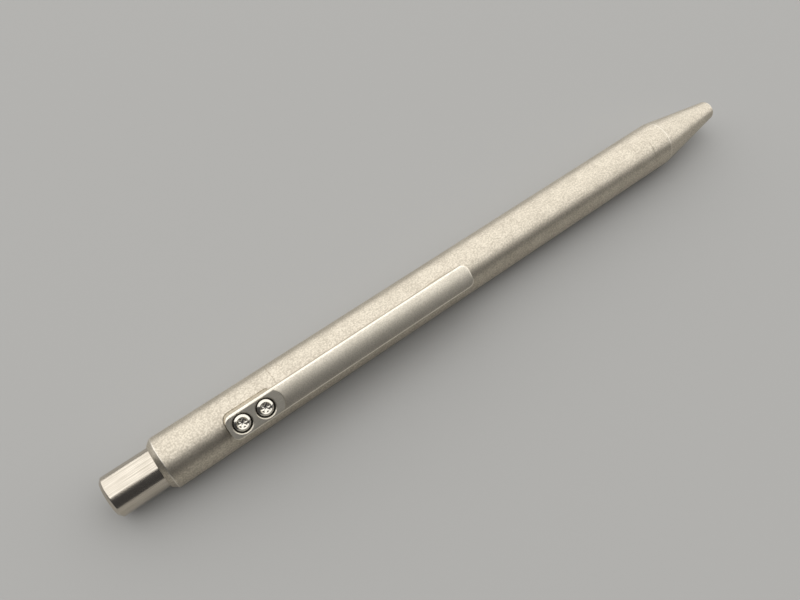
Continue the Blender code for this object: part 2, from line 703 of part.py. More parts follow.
def build_return_spring(materials, pen):
    wire = SPRING_WIRE_DIAMETER / 2
    radius = SPRING_DIAMETER / 2 - wire
    start = HOLDER_SHOULDER + wire + SPRING_END_GAP
    end = SPRING_SEAT - wire - SPRING_END_GAP
    count = SPRING_TURNS * SPRING_POINTS_PER_TURN
    curve = bpy.data.curves.new("return_spring", "CURVE")
    curve.dimensions = "3D"
    curve.bevel_depth = wire
    curve.bevel_resolution = 1
    curve.use_fill_caps = True
    spline = curve.splines.new("POLY")
    spline.points.add(count)
    for index, point in enumerate(spline.points):
        angle = 2 * math.pi * index / SPRING_POINTS_PER_TURN
        x = start + (end - start) * index / count
        point.co = (x, radius * math.cos(angle), radius * math.sin(angle), 1)
    curve.materials.append(materials["spring"])
    spring = bpy.data.objects.new("return_spring", curve)
    bpy.context.scene.collection.objects.link(spring)
    spring.parent = pen
    return spring


def corner_inset(distance):
    """How far the plan's side draws in at a distance from its end, round a corner of the clip."""
    if distance >= CLIP_CORNER_RADIUS:
        return 0
    rest = CLIP_CORNER_RADIUS - distance
    return CLIP_CORNER_RADIUS - math.sqrt(CLIP_CORNER_RADIUS**2 - rest**2)


def clip_plan(margin, front):
    """Outline of the clip's foot seen from above, grown by a margin, with the seat's own corners in front."""
    radius = CLIP_CORNER_RADIUS + margin
    rear_x = CLIP_START + CLIP_CORNER_RADIUS
    rear_y = CLIP_WIDTH / 2 - CLIP_CORNER_RADIUS
    front_x = front - CLIP_SEAT_CORNER_RADIUS
    front_y = CLIP_WIDTH / 2 + margin - CLIP_SEAT_CORNER_RADIUS
    return [
        *arc((front_x, front_y), CLIP_SEAT_CORNER_RADIUS, 0, math.pi / 2, ARC_STEPS),
        *arc((rear_x, rear_y), radius, math.pi / 2, math.pi, ARC_STEPS),
        *arc((rear_x, -rear_y), radius, math.pi, 3 * math.pi / 2, ARC_STEPS),
        *arc((front_x, -front_y), CLIP_SEAT_CORNER_RADIUS, 3 * math.pi / 2, 2 * math.pi, ARC_STEPS),
    ]


def bump_drop(x):
    """How far the contact bump reaches below the arm's underside at a place along the clip."""
    share = (x - BUMP_START) / BUMP_LENGTH
    if not 0 < share < 1:
        return 0
    if share < BUMP_PEAK_SHARE:
        phase = share / BUMP_PEAK_SHARE
    else:
        phase = (1 - share) / (1 - BUMP_PEAK_SHARE)
    depth = CLIP_UNDERSIDE - BARREL_RADIUS - BUMP_CLEARANCE
    return depth * math.sin(phase * math.pi / 2) ** 2


def clip_section(x, bottom, end_drop):
    """One cross-section of the clip: a crowned top, rounded edges and a flat underside."""
    inset = corner_inset(min(x - CLIP_START, CLIP_END - x))
    half = CLIP_WIDTH / 2 - inset
    points = []
    for index in range(CROWN_STEPS + 1):
        y = (half - CLIP_EDGE) * (1 - 2 * index / CROWN_STEPS)
        fall = CLIP_CROWN_RADIUS - math.sqrt(CLIP_CROWN_RADIUS**2 - y**2)
        points.append((y, CLIP_TOP - fall - end_drop))
    edge = points[0][1] - CLIP_EDGE
    outline = [(half, bottom), (half, edge), *points, (-half, edge), (-half, bottom)]
    return [Vector((x, y, z)) for y, z in outline]


def end_stations(end, inward, bottom):
    """Stations round one end's two corners, from the end inwards, with the end's top edge rounded off."""
    stations = []
    for index in range(CORNER_STEPS + 1):
        distance = CLIP_CORNER_RADIUS * (1 - math.cos(math.pi / 2 * index / CORNER_STEPS))
        stations.append((end + inward * distance, bottom, 0 if index else CLIP_EDGE))
    return stations


def clip_stations():
    """Places along the clip as (x, height of the underside, rounding of the top edge), rear to front."""
    stations = end_stations(CLIP_START, 1, FOOT_HEIGHT)
    stations.append((CLIP_FOOT_END - CLIP_FOOT_DRAFT, FOOT_HEIGHT, 0))
    centre = (CLIP_FOOT_END + CLIP_FOOT_FILLET, CLIP_UNDERSIDE - CLIP_FOOT_FILLET)
    for x, z in arc(centre, CLIP_FOOT_FILLET, math.pi, math.pi / 2, FILLET_STEPS):
        stations.append((x, z, 0))
    for index in range(BUMP_STEPS + 1):
        x = BUMP_START + BUMP_LENGTH * index / BUMP_STEPS
        stations.append((x, CLIP_UNDERSIDE - bump_drop(x), 0))
    return stations + end_stations(CLIP_END, -1, CLIP_UNDERSIDE)[::-1]


def build_clip(materials, clip_frame):
    bm = bmesh.new()
    loops = [[bm.verts.new(point) for point in clip_section(*station)] for station in clip_stations()]
    join_loops(bm, loops)
    bm.faces.new(loops[0])
    bm.faces.new(loops[-1])
    clip = finish_mesh(bm, "clip", materials["clip"], clip_frame)
    # A flat land is milled into the crown round the screws; its front end is the cutter's round edge.
    half_angle = math.asin(CLIP_WIDTH / 2 / LAND_CUTTER_RADIUS)
    front = CLIP_FOOT_END + LAND_PAST_FOOT
    rear = CLIP_START - CUT_OVERRUN
    edge = arc((front - LAND_CUTTER_RADIUS, 0), LAND_CUTTER_RADIUS, -half_angle, half_angle, 2 * ARC_STEPS)
    wide = CLIP_WIDTH / 2 + CUT_OVERRUN
    outline = [(rear, -wide), (edge[0][0], -wide), *edge, (edge[-1][0], wide), (rear, wide)]
    cut(clip, cutter_prism("land_cutter", outline, LAND_HEIGHT, CLIP_TOP + CUT_OVERRUN, clip_frame))
    for index, place in enumerate(SCREW_PLACES):
        bore = cutter_prism(
            f"counterbore_{index + 1}",
            circle_outline(place, 0, COUNTERBORE_RADIUS, INNER_STEPS),
            COUNTERBORE_FLOOR,
            CLIP_TOP + CUT_OVERRUN,
            clip_frame,
        )
        hole = cutter_prism(
            f"clip_screw_hole_{index + 1}",
            circle_outline(place, 0, SCREW_HOLE_RADIUS, SMALL_STEPS),
            SEAT_HEIGHT - CUT_OVERRUN,
            CLIP_TOP + CUT_OVERRUN,
            clip_frame,
        )
        cut(clip, bore)
        cut(clip, hole)
    return clip


def build_screw(name, place, materials, clip_frame):
    """A button-head screw, turned about X and then stood up along the clip's outward direction."""
    head = SCREW_HEAD_DIAMETER / 2
    shank = SCREW_SHANK_DIAMETER / 2
    crown = SCREW_HEAD_HEIGHT - SCREW_HEAD_RIM
    dome = (head**2 + crown**2) / (2 * crown)
    half_angle = math.asin(head / dome)
    profile = [
        (0, 0),
        (0, shank),
        (SCREW_LENGTH, shank),
        (SCREW_LENGTH, head),
        *[
            (SCREW_LENGTH + SCREW_HEAD_HEIGHT - dome + x, y)
            for x, y in arc((0, 0), dome, half_angle, 0, ARC_STEPS)
        ],
    ]
    screw = turned(name, profile, materials["steel"], clip_frame, INNER_STEPS)
    screw.location = (place, 0, SCREW_SEAT - SCREW_LENGTH)
    screw.rotation_euler = (0, -math.pi / 2, 0)
    top = SCREW_SEAT + SCREW_HEAD_HEIGHT
    socket = cutter_prism(
        name + "_socket",
        circle_outline(place, 0, SCREW_SOCKET_WIDTH / 2 / math.cos(math.pi / SOCKET_SIDES), SOCKET_SIDES),
        top - SCREW_SOCKET_DEPTH,
        top + CUT_OVERRUN,
        clip_frame,
    )
    cut(screw, socket)
    return screw


def place_pen(pen, clip_frame):
    """Lays the barrel on z = 0 and brings the middle of the pen's outline over the origin."""
    rest_height = BARREL_RADIUS * math.cos(math.pi / OUTER_STEPS)
    edge_fall = CLIP_CROWN_RADIUS - math.sqrt(CLIP_CROWN_RADIUS**2 - (CLIP_WIDTH / 2 - CLIP_EDGE) ** 2)
    edge_height = CLIP_TOP - edge_fall - CLIP_EDGE
    clip_reach = edge_height * math.sin(CLIP_ROLL) + CLIP_WIDTH / 2 * math.cos(CLIP_ROLL)
    pen.location = (BUTTON_PROTRUSION - PEN_LENGTH / 2, (clip_reach - rest_height) / 2, rest_height)
    clip_frame.rotation_euler = (CLIP_ROLL, 0, 0)


def main():
    clear_scene()
    materials = make_materials()
    pen = make_empty("pen_frame")
    clip_frame = make_empty("clip_frame", pen)
    build_rear_barrel(materials, pen, clip_frame)
    build_front_barrel(materials, pen)
    build_nose_cone(materials, pen)
    build_push_button(materials, pen)
    build_plunger(materials, pen)
    build_ratchet_sleeve(materials, pen)
    build_rotor(materials, pen)
    build_o_ring("o_ring_rear", (REAR_STUB_END + REAR_SOCKET_END) / 2, materials, pen)
    build_o_ring("o_ring_front", (NOSE_STUB_END + NOSE_SOCKET_END) / 2, materials, pen)
    build_refill_shell(materials, pen)
    build_refill_point(materials, pen)
    build_refill_filling(materials, pen)
    build_return_spring(materials, pen)
    build_clip(materials, clip_frame)
    for name, place in zip(("clip_screw_rear", "clip_screw_front"), SCREW_PLACES):
        build_screw(name, place, materials, clip_frame)
    place_pen(pen, clip_frame)


main()
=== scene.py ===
"""Looks of a retractable titanium pen: its pieces in full detail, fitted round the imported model.

The pen lies along X with its writing end at +X. Pieces are modelled in the pen's own frame, whose X
axis is the centre line and whose zero is the rear face of the barrel, and are then moved to where
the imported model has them. Lengths are in metres, written as millimetres times MM.
"""

import logging
import math
from collections.abc import Iterable, Sequence
from dataclasses import dataclass
from enum import Enum, IntEnum
from functools import cache

import bmesh
import bpy
from mathutils import Matrix, Vector


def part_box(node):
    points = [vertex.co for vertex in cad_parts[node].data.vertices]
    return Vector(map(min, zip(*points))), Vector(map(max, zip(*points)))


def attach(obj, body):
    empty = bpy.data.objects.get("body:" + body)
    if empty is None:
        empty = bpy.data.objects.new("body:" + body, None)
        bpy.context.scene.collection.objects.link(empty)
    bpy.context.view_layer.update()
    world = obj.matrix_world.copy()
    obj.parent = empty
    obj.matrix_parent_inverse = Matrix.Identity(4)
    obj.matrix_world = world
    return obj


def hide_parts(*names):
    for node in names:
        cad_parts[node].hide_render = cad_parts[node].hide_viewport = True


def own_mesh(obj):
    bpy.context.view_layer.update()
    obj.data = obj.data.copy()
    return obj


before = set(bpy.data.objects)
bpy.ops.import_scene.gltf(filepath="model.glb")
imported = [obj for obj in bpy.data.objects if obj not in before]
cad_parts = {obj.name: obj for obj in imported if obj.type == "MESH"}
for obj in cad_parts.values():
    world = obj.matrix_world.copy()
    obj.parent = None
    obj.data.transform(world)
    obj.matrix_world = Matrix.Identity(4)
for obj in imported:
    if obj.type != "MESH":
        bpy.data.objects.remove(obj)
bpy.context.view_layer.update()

MM = 0.001
WELD = 0.0002 * MM
SLIVER = 0.0005 * MM
NEAR = 0.003 * MM
OVERRUN = 1.0 * MM
FINE_STEPS = 192
SMALL_STEPS = 96
ROUNDING_STEPS = 4
SMALL_ROUNDING_STEPS = 2
SHARP_ANGLE = math.radians(32)
STRAIGHT_ANGLE = 0.001
CENTRE_LINE = {"cent": (0, 0, 0), "axis": (1, 0, 0)}
FACE_WEIGHT = 100
MIX_FACTOR, MIX_FIRST, MIX_SECOND, MIX_RESULT = 0, 6, 7, 2
# A noise's values lie round a half, so these parts of them are stretched to a full range.
SPECK_LOW, SPECK_HIGH = 0.35, 0.65
SPREAD_LOW, SPREAD_HIGH = 0.3, 0.7
CLOUD_DRIFT = 0.2
GRAIN_DETAIL, CLOUD_DETAIL = 3, 2
FLOW_SPREAD = 0.2
BURNISH_REACH = 0.14 * MM
BURNISH_ROUGHNESS = 0.72
# The rings' pale colour is a painted highlight along worn edges; their lower roughness is the real
# burnish.
BURNISH_HIGHLIGHT_COLOUR = "#F2ECDF"

Outline = Sequence[tuple[float, float]]
Mesh = bmesh.types.BMesh
Edge = bmesh.types.BMEdge
Socket = bpy.types.NodeSocket
log = logging.getLogger("pen")


class Body(Enum):
    """The rigid bodies that a piece can ride on."""

    BARREL = "barrel"
    BUTTON = "button"
    REFILL = "refill"


def linear(code: str) -> tuple[float, float, float, float]:
    """Turns an sRGB hex code into a linear colour with full opacity.

    Args:
        code: The colour as a hash sign and six hex digits.

    Returns:
        Red, green, blue and alpha.
    """
    shares = [int(code[start : start + 2], 16) / 255 for start in (1, 3, 5)]
    red, green, blue = (s / 12.92 if s <= 0.04045 else ((s + 0.055) / 1.055) ** 2.4 for s in shares)
    return red, green, blue, 1.0


def new_material(name: str) -> tuple[bpy.types.Material, bpy.types.NodeTree, bpy.types.Node]:
    """Makes a material with nodes, and gives its tree and its shader too."""
    material = bpy.data.materials.new(name)
    material.use_nodes = True
    return material, material.node_tree, material.node_tree.nodes["Principled BSDF"]


def fill_inputs(tree: bpy.types.NodeTree, node: bpy.types.Node, inputs: dict) -> None:
    """Sets a node's inputs by name or number, to values or to links from other sockets."""
    for key, value in inputs.items():
        if isinstance(value, Socket):
            tree.links.new(value, node.inputs[key])
        else:
            node.inputs[key].default_value = value


def add_node(
    tree: bpy.types.NodeTree, kind: str, inputs: dict, output: int | str = 0, **settings
) -> Socket:
    """Adds a node with its settings and links.

    Args:
        tree: The tree that gets the node.
        kind: The node's type name.
        inputs: What its inputs get, by name or number: values, or sockets to link from.
        output: Which of its output sockets is wanted.
        settings: Properties of the node itself.

    Returns:
        The wanted output socket.
    """
    node = tree.nodes.new(kind)
    for name, value in settings.items():
        setattr(node, name, value)
    fill_inputs(tree, node, inputs)
    return node.outputs[output]


def arc(centre: tuple[float, float], radius: float, start: float, end: float, steps: int) -> Outline:
    """Gives the points of an arc round a centre, from a start angle to an end angle."""
    angles = [start + (end - start) * step / steps for step in range(steps + 1)]
    return [(centre[0] + radius * math.cos(at), centre[1] + radius * math.sin(at)) for at in angles]


def spun(outline: Outline, steps: int = FINE_STEPS) -> Mesh:
    """Spins a closed outline once round the centre line into a closed solid.

    Args:
        outline: Points as (place along the centre line, radius).
        steps: How many steps the full turn takes.

    Returns:
        The solid.
    """
    bm = bmesh.new()
    verts = [bm.verts.new((place, 0, radius)) for place, radius in outline]
    pairs = zip(verts, verts[1:] + verts[:1])
    edges = [bm.edges.new(pair) for pair in pairs if max(vert.co.z for vert in pair) > WELD]
    turn = {"angle": 2 * math.pi, "steps": steps, "use_merge": True}
    bmesh.ops.spin(bm, geom=verts + edges, **CENTRE_LINE, **turn)
    bmesh.ops.remove_doubles(bm, verts=bm.verts, dist=WELD)
    bmesh.ops.recalc_face_normals(bm, faces=bm.faces)
    return bm


def prism(outline: Outline, low: float, high: float) -> Mesh:
    """Extrudes an outline along Z.

    Args:
        outline: Points as (x, y).
        low: Where it starts along Z.
        high: Where it ends.

    Returns:
        The solid.
    """
    bm = bmesh.new()
    face = bm.faces.new([bm.verts.new((x, y, low)) for x, y in outline])
    raise_copy(bm, face, high - low)
    return bm


def raise_copy(bm: Mesh, face: bmesh.types.BMFace, rise: float) -> None:
    """Extrudes a lone face along Z, and keeps it as the solid's other end."""
    made = bmesh.ops.extrude_face_region(bm, geom=[face], use_keep_orig=True)
    lifted = [item for item in made["geom"] if isinstance(item, bmesh.types.BMVert)]
    bmesh.ops.translate(bm, vec=(0, 0, rise), verts=lifted)
    bmesh.ops.recalc_face_normals(bm, faces=bm.faces)


def stood_up(bm: Mesh, place: float) -> Mesh:
    """Stands a solid that was spun round X up along Z at a place along X, and returns it."""
    turn = Matrix.Translation((place, 0, 0)) @ Matrix.Rotation(-math.pi / 2, 4, "Y")
    bmesh.ops.transform(bm, matrix=turn, verts=bm.verts)
    return bm


def drill(place: float, radius: float, low: float, high: float) -> Mesh:
    """Makes the cutter of a round hole at a place along X, from one height to another."""
    outline = [(low, 0), (low, radius), (high, radius), (high, 0)]
    return stood_up(spun(outline, SMALL_STEPS), place)


def rolled(bm: Mesh, angle: float) -> Mesh:
    """Turns a solid about the centre line, and returns it."""
    bmesh.ops.rotate(bm, cent=(0, 0, 0), matrix=Matrix.Rotation(angle, 3, "X"), verts=bm.verts)
    return bm


def bevel(
    bm: Mesh, edges: Iterable[Edge], width: float, steps: int = ROUNDING_STEPS, finish: int = -1
) -> None:
    """Rounds edges off.

    Args:
        bm: The mesh.
        edges: The edges to round.
        width: How far the rounding reaches on each side.
        steps: How many faces it has.
        finish: Which of the piece's finishes it gets. -1 keeps its neighbours' one.
    """
    shape = {"offset": width, "offset_type": "OFFSET", "segments": steps, "profile": 0.5}
    bmesh.ops.bevel(bm, geom=list(edges), **shape, affect="EDGES", material=finish, clamp_overlap=False)


def ring(bm: Mesh, place: float, radius: float) -> list[Edge]:
    """Finds the edges of a ring about the centre line, at a place along it."""
    apart = {vert: math.hypot(vert.co.x - place, vert.co.yz.length - radius) for vert in bm.verts}
    return [edge for edge in bm.edges if all(apart[vert] < NEAR for vert in edge.verts)]


def carved(bm: Mesh, cutters: Iterable[Mesh]) -> Mesh:
    """Takes cutters out of a solid with exact Booleans.

    Args:
        bm: The solid, which is used up.
        cutters: What is taken out of it, used up as well.

    Returns:
        What is left of the solid.
    """
    loose = [loose_object(mesh) for mesh in (bm, *cutters)]
    for cutter in loose[1:]:
        boolean = loose[0].modifiers.new("cut", "BOOLEAN")
        boolean.operation = "DIFFERENCE"
        boolean.solver = "EXACT"
        boolean.object = cutter
    evaluated = loose[0].evaluated_get(bpy.context.evaluated_depsgraph_get())
    left = bmesh.new()
    left.from_mesh(evaluated.to_mesh())
    evaluated.to_mesh_clear()
    for obj in loose:
        bpy.data.objects.remove(obj)
    bmesh.ops.remove_doubles(left, verts=left.verts, dist=WELD)
    bmesh.ops.dissolve_degenerate(left, dist=SLIVER, edges=left.edges)
    bmesh.ops.holes_fill(left, edges=[edge for edge in left.edges if edge.is_boundary], sides=0)
    # A cut leaves stray points on straight edges, where two faces could each split off a flat triangle.
    points = [vert for vert in left.verts if len(vert.link_edges) == 2]
    stray = [vert for vert in points if vert.calc_edge_angle() < STRAIGHT_ANGLE]
    bmesh.ops.dissolve_verts(left, verts=stray)
    bmesh.ops.recalc_face_normals(left, faces=left.faces)
    return left


def loose_object(bm: Mesh, name: str = "loose") -> bpy.types.Object:
    """Makes a mesh object of a bmesh and links it to the scene.

    Args:
        bm: The mesh, which is freed.
        name: The object's name.

    Returns:
        The object.
    """
    mesh = bpy.data.meshes.new(name)
    bm.to_mesh(mesh)
    bm.free()
    obj = bpy.data.objects.new(name, mesh)
    bpy.context.scene.collection.objects.link(obj)
    return obj


@dataclass(frozen=True)
class HighlitWear:
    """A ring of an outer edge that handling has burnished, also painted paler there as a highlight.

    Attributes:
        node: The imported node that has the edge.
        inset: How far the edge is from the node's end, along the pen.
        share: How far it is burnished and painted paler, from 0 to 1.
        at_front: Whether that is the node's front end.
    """

    node: str
    inset: float
    share: float
    at_front: bool = False

    def place(self) -> float:
        """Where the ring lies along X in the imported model."""
        low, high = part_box(self.node)
        return high.x - self.inset if self.at_front else low.x + self.inset


@dataclass(frozen=True)
class MetalFinish:
    """A bare metal surface and the marks that its making left.

    Attributes:
        name: The start of its material's name.
        colour: Its main colour.
        second: The colour that its cloudy patches and grains drift to.
        roughness: How rough it is on average.
        unevenness: How far the roughness goes up and down with the grain.
        grain: Size of a grain, or width of a scratch.
        depth: Depth of the grain.
        cloud: Size of the cloudy patches.
        lay: How many times longer than wide the marks are along X, Y and Z.
        highlit_wear: Burnished rings, also painted paler as highlights.
    """

    name: str
    colour: str
    second: str
    roughness: float
    unevenness: float
    grain: float
    depth: float
    cloud: float = 3.0 * MM
    lay: tuple[float, float, float] = (1, 1, 1)
    highlit_wear: tuple[HighlitWear, ...] = ()

    def material(self) -> bpy.types.Material:
        """Builds the material, which reads Object coordinates."""
        material, tree, shader = new_material(self.name + "_finish")
        place = add_node(tree, "ShaderNodeTexCoord", {}, "Object")
        stretch = tuple(1 / times for times in self.lay)
        laid = add_node(tree, "ShaderNodeMapping", {"Vector": place, "Scale": stretch})
        fine = {"Vector": laid, "Scale": 1 / self.grain, "Detail": GRAIN_DETAIL}
        grain = add_node(tree, "ShaderNodeTexNoise", fine)
        coarse = {"Vector": place, "Scale": 1 / self.cloud, "Detail": CLOUD_DETAIL}
        cloud = add_node(tree, "ShaderNodeTexNoise", coarse)
        speck = add_node(tree, "ShaderNodeMapRange", {0: grain, 1: SPECK_LOW, 2: SPECK_HIGH})
        patchy = {0: cloud, 1: SPREAD_LOW, 2: SPREAD_HIGH, 3: -CLOUD_DRIFT, 4: CLOUD_DRIFT}
        drift = add_node(tree, "ShaderNodeMapRange", patchy)
        blend = add_node(tree, "ShaderNodeMath", {0: speck, 1: drift}, operation="ADD", use_clamp=True)
        mixed = {MIX_FACTOR: blend, MIX_FIRST: linear(self.colour), MIX_SECOND: linear(self.second)}
        colour = add_node(tree, "ShaderNodeMix", mixed, MIX_RESULT, data_type="RGBA")
        low, high = self.roughness - self.unevenness, self.roughness + self.unevenness
        uneven = {0: grain, 1: SPREAD_LOW, 2: SPREAD_HIGH, 3: low, 4: high}
        rough = add_node(tree, "ShaderNodeMapRange", uneven)
        if self.highlit_wear:
            wear_highlight_mask = self.wear_highlight_mask(tree, place)
            share = add_node(tree, "ShaderNodeMapRange", {0: wear_highlight_mask, 3: 1.0, 4: BURNISH_ROUGHNESS})
            rough = add_node(tree, "ShaderNodeMath", {0: rough, 1: share}, operation="MULTIPLY")
            # Painted highlight: the rings are painted paler, beside the real burnish of their lower
            # roughness.
            pale = {MIX_FACTOR: wear_highlight_mask, MIX_FIRST: colour, MIX_SECOND: linear(BURNISH_HIGHLIGHT_COLOUR)}
            colour = add_node(tree, "ShaderNodeMix", pale, MIX_RESULT, data_type="RGBA")
        normal = add_node(tree, "ShaderNodeBump", {"Height": grain, "Distance": self.depth})
        surface = {"Metallic": 1, "Base Color": colour, "Roughness": rough, "Normal": normal}
        fill_inputs(tree, shader, surface)
        return material

    def wear_highlight_mask(self, tree: bpy.types.NodeTree, place: Socket) -> Socket:
        """Adds a mask of the burnished rings, where they are also painted paler as a highlight.

        Args:
            tree: The material's tree.
            place: The Object coordinates.

        Returns:
            The mask, which has each ring's share on the ring and 0 away from it.
        """
        along = add_node(tree, "ShaderNodeSeparateXYZ", {0: place})
        total: Socket | float = 0.0
        for highlit_wear in self.highlit_wear:
            away = add_node(tree, "ShaderNodeMath", {0: along, 1: highlit_wear.place()}, operation="SUBTRACT")
            gap = add_node(tree, "ShaderNodeMath", {0: away}, operation="ABSOLUTE")
            fade = {0: gap, 1: 0.0, 2: BURNISH_REACH, 3: highlit_wear.share, 4: 0.0}
            mask = add_node(tree, "ShaderNodeMapRange", fade)
            total = add_node(tree, "ShaderNodeMath", {0: mask, 1: total}, operation="MAXIMUM")
        return total


@dataclass(frozen=True)
class PlasticFinish:
    """A moulded plastic, rubber, ink or grease.

    Attributes:
        name: The start of its material's name.
        colour: Its main colour.
        second: The colour of its faint flow marks.
        roughness: How rough it is.
        ior: Its index of refraction.
        clearness: How much light goes through, from 0 to 1.
        grain: Size of the flow marks.
        depth: Depth of the surface's texture.
    """

    name: str
    colour: str
    second: str
    roughness: float
    ior: float = 1.48
    clearness: float = 0.0
    grain: float = 0.8 * MM
    depth: float = 0.002 * MM

    def material(self) -> bpy.types.Material:
        """Builds the material, which reads Object coordinates."""
        material, tree, shader = new_material(self.name + "_finish")
        place = add_node(tree, "ShaderNodeTexCoord", {}, "Object")
        marks = {"Vector": place, "Scale": 1 / self.grain, "Detail": GRAIN_DETAIL}
        flow = add_node(tree, "ShaderNodeTexNoise", marks)
        mixed = {MIX_FACTOR: flow, MIX_FIRST: linear(self.colour), MIX_SECOND: linear(self.second)}
        colour = add_node(tree, "ShaderNodeMix", mixed, MIX_RESULT, data_type="RGBA")
        low, high = self.roughness * (1 - FLOW_SPREAD), self.roughness * (1 + FLOW_SPREAD)
        rough = add_node(tree, "ShaderNodeMapRange", {0: flow, 3: low, 4: high})
        normal = add_node(tree, "ShaderNodeBump", {"Height": flow, "Distance": self.depth})
        fill_inputs(tree, shader, {"IOR": self.ior, "Transmission Weight": self.clearness})
        fill_inputs(tree, shader, {"Base Color": colour, "Roughness": rough, "Normal": normal})
        return material


# Titanium, turned and then blasted with glass beads: an even matt warm grey with a fine sparkle. The
# dents of the beads are about 0.1 mm wide, and are drawn at 0.3 mm so that they show.
BLASTED_TITANIUM = MetalFinish(
    name="blasted_titanium",
    colour="#D4CBBA",
    second="#B8AF9F",
    roughness=0.42,
    unevenness=0.1,
    grain=0.3 * MM,
    depth=0.02 * MM,
    # Burnished edge rings, painted paler as highlights: the rear chamfer's edge, the start of the cone
    # and the rim of the nose.
    highlit_wear=(
        HighlitWear("rear_barrel", 1.0 * MM, 0.8),
        HighlitWear("nose_cone", 17.2 * MM, 0.7, at_front=True),
        HighlitWear("nose_cone", 0.25 * MM, 1.0, at_front=True),
    ),
)
# The same metal, milled and tumbled with stones: a little smoother, with softened edges. Its colour is
# painted paler than the barrel's, to stand in for light that the clip's faces catch.
TUMBLED_LIT_TITANIUM = MetalFinish(
    "tumbled_titanium", "#E4DCCC", "#D0C8B8",
    roughness=0.4, unevenness=0.08, grain=0.24 * MM, depth=0.01 * MM,
)
# The clip's rim, where the tumbling stones and the pocket's hem rub most: smoother from the rubbing, and
# painted paler as a highlight along the rounded edges.
RUBBED_HIGHLIT_TITANIUM = MetalFinish(
    "rubbed_highlit_titanium", "#F2EBDC", "#E2DACA",
    roughness=0.34, unevenness=0.06, grain=0.24 * MM, depth=0.004 * MM,
)
# Where the clip was milled after tumbling: a duller, silky face with the fine lines of the cutter.
MILLED_TITANIUM = MetalFinish(
    "milled_titanium", "#D8D2C4", "#C6C0B2",
    roughness=0.4, unevenness=0.06, grain=0.07 * MM, depth=0.0015 * MM, lay=(14, 1, 1),
)
# The counterbores' walls and floors, bored and never polished, and painted dark: painted shade, so that
# the gap round each screw head is dark.
SHADED_BORE_TITANIUM = MetalFinish(
    "shaded_bore_titanium", "#5A5650", "#46433E",
    roughness=0.5, unevenness=0.06, grain=0.1 * MM, depth=0.004 * MM,
)
# Titanium turned and polished lengthwise: mirror-like with faint streaks along the button.
POLISHED_TITANIUM = MetalFinish(
    "polished_titanium", "#D6CEC0", "#BDB4A5",
    roughness=0.19, unevenness=0.08, grain=0.12 * MM, depth=0.0012 * MM, lay=(60, 1, 1),
)
# Stainless steel screws with a bright electropolished surface.
POLISHED_STEEL = MetalFinish(
    "polished_steel", "#E2DDD1", "#D4CFC3",
    roughness=0.17, unevenness=0.06, grain=0.12 * MM, depth=0.0012 * MM,
)
# Hard-drawn spring wire: bright grey with faint drawing lines.
SPRING_STEEL = MetalFinish(
    "spring_steel", "#BDBDBB", "#A9A9A8",
    roughness=0.25, unevenness=0.06, grain=0.08 * MM, depth=0.001 * MM,
)
# Ground and lapped carbide: a hard dark-grey mirror.
TUNGSTEN_CARBIDE = MetalFinish(
    "tungsten_carbide", "#B4B3B3", "#A5A4A5",
    roughness=0.1, unevenness=0.02, grain=0.05 * MM, depth=0.0002 * MM,
)
# Moulded acetal: dense, waxy white.
WHITE_ACETAL = PlasticFinish("white_acetal", "#E9E7E0", "#E0DED6", roughness=0.38, ior=1.48)
# Moulded nitrile rubber: dull black.
BLACK_NITRILE = PlasticFinish(
    "black_nitrile", "#1B1B1C", "#232324", roughness=0.6, ior=1.52, grain=0.2 * MM
)
# Extruded polypropylene: clear with a slight milkiness.
CLEAR_POLYPROPYLENE = PlasticFinish(
    "clear_polypropylene", "#E6EAEC", "#DCE1E3", roughness=0.16, ior=1.49, clearness=0.9, grain=2 * MM
)
# Moulded polypropylene, coloured grey through.
GREY_POLYPROPYLENE = PlasticFinish("grey_polypropylene", "#55575B", "#4C4E52", roughness=0.4, ior=1.49)
# Pigmented gel ink: a glossy black.
BLACK_GEL_INK = PlasticFinish("black_gel_ink", "#0C0C10", "#101016", roughness=0.15, ior=1.36)
# Clear grease with a faint yellow.
CLEAR_GREASE = PlasticFinish(
    "clear_grease", "#EDE0B8", "#E5D6A6", roughness=0.12, ior=1.46, clearness=0.8
)

Finish = MetalFinish | PlasticFinish


class ClipFinish(IntEnum):
    """The clip's finishes, by their places in its material slots."""

    # The tumbled face is painted paler for light, the rim paler still as a painted highlight, and the
    # bores' walls and floors dark as painted shade.
    TUMBLED_LIT = 0
    MILLED = 1
    RUBBED_HIGHLIT = 2
    SHADED_BORE = 3


@cache
def material_of(finish: Finish) -> bpy.types.Material:
    """Gives a finish's material, which is built at its first use."""
    return finish.material()


@dataclass(frozen=True)
class PenFrame:
    """Where the barrel's rear face and the pen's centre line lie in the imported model."""

    rear_face: float
    centre_y: float
    centre_z: float

    @classmethod
    def from_model(cls) -> "PenFrame":
        """Reads the frame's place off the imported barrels."""
        low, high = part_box("front_barrel")
        return cls(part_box("rear_barrel")[0].x, (low.y + high.y) / 2, (low.z + high.z) / 2)

    def span(self, node: str) -> tuple[float, float]:
        """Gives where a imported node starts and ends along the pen."""
        low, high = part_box(node)
        return low.x - self.rear_face, high.x - self.rear_face

    def origin(self) -> Vector:
        """The frame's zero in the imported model."""
        return Vector((self.rear_face, self.centre_y, self.centre_z))


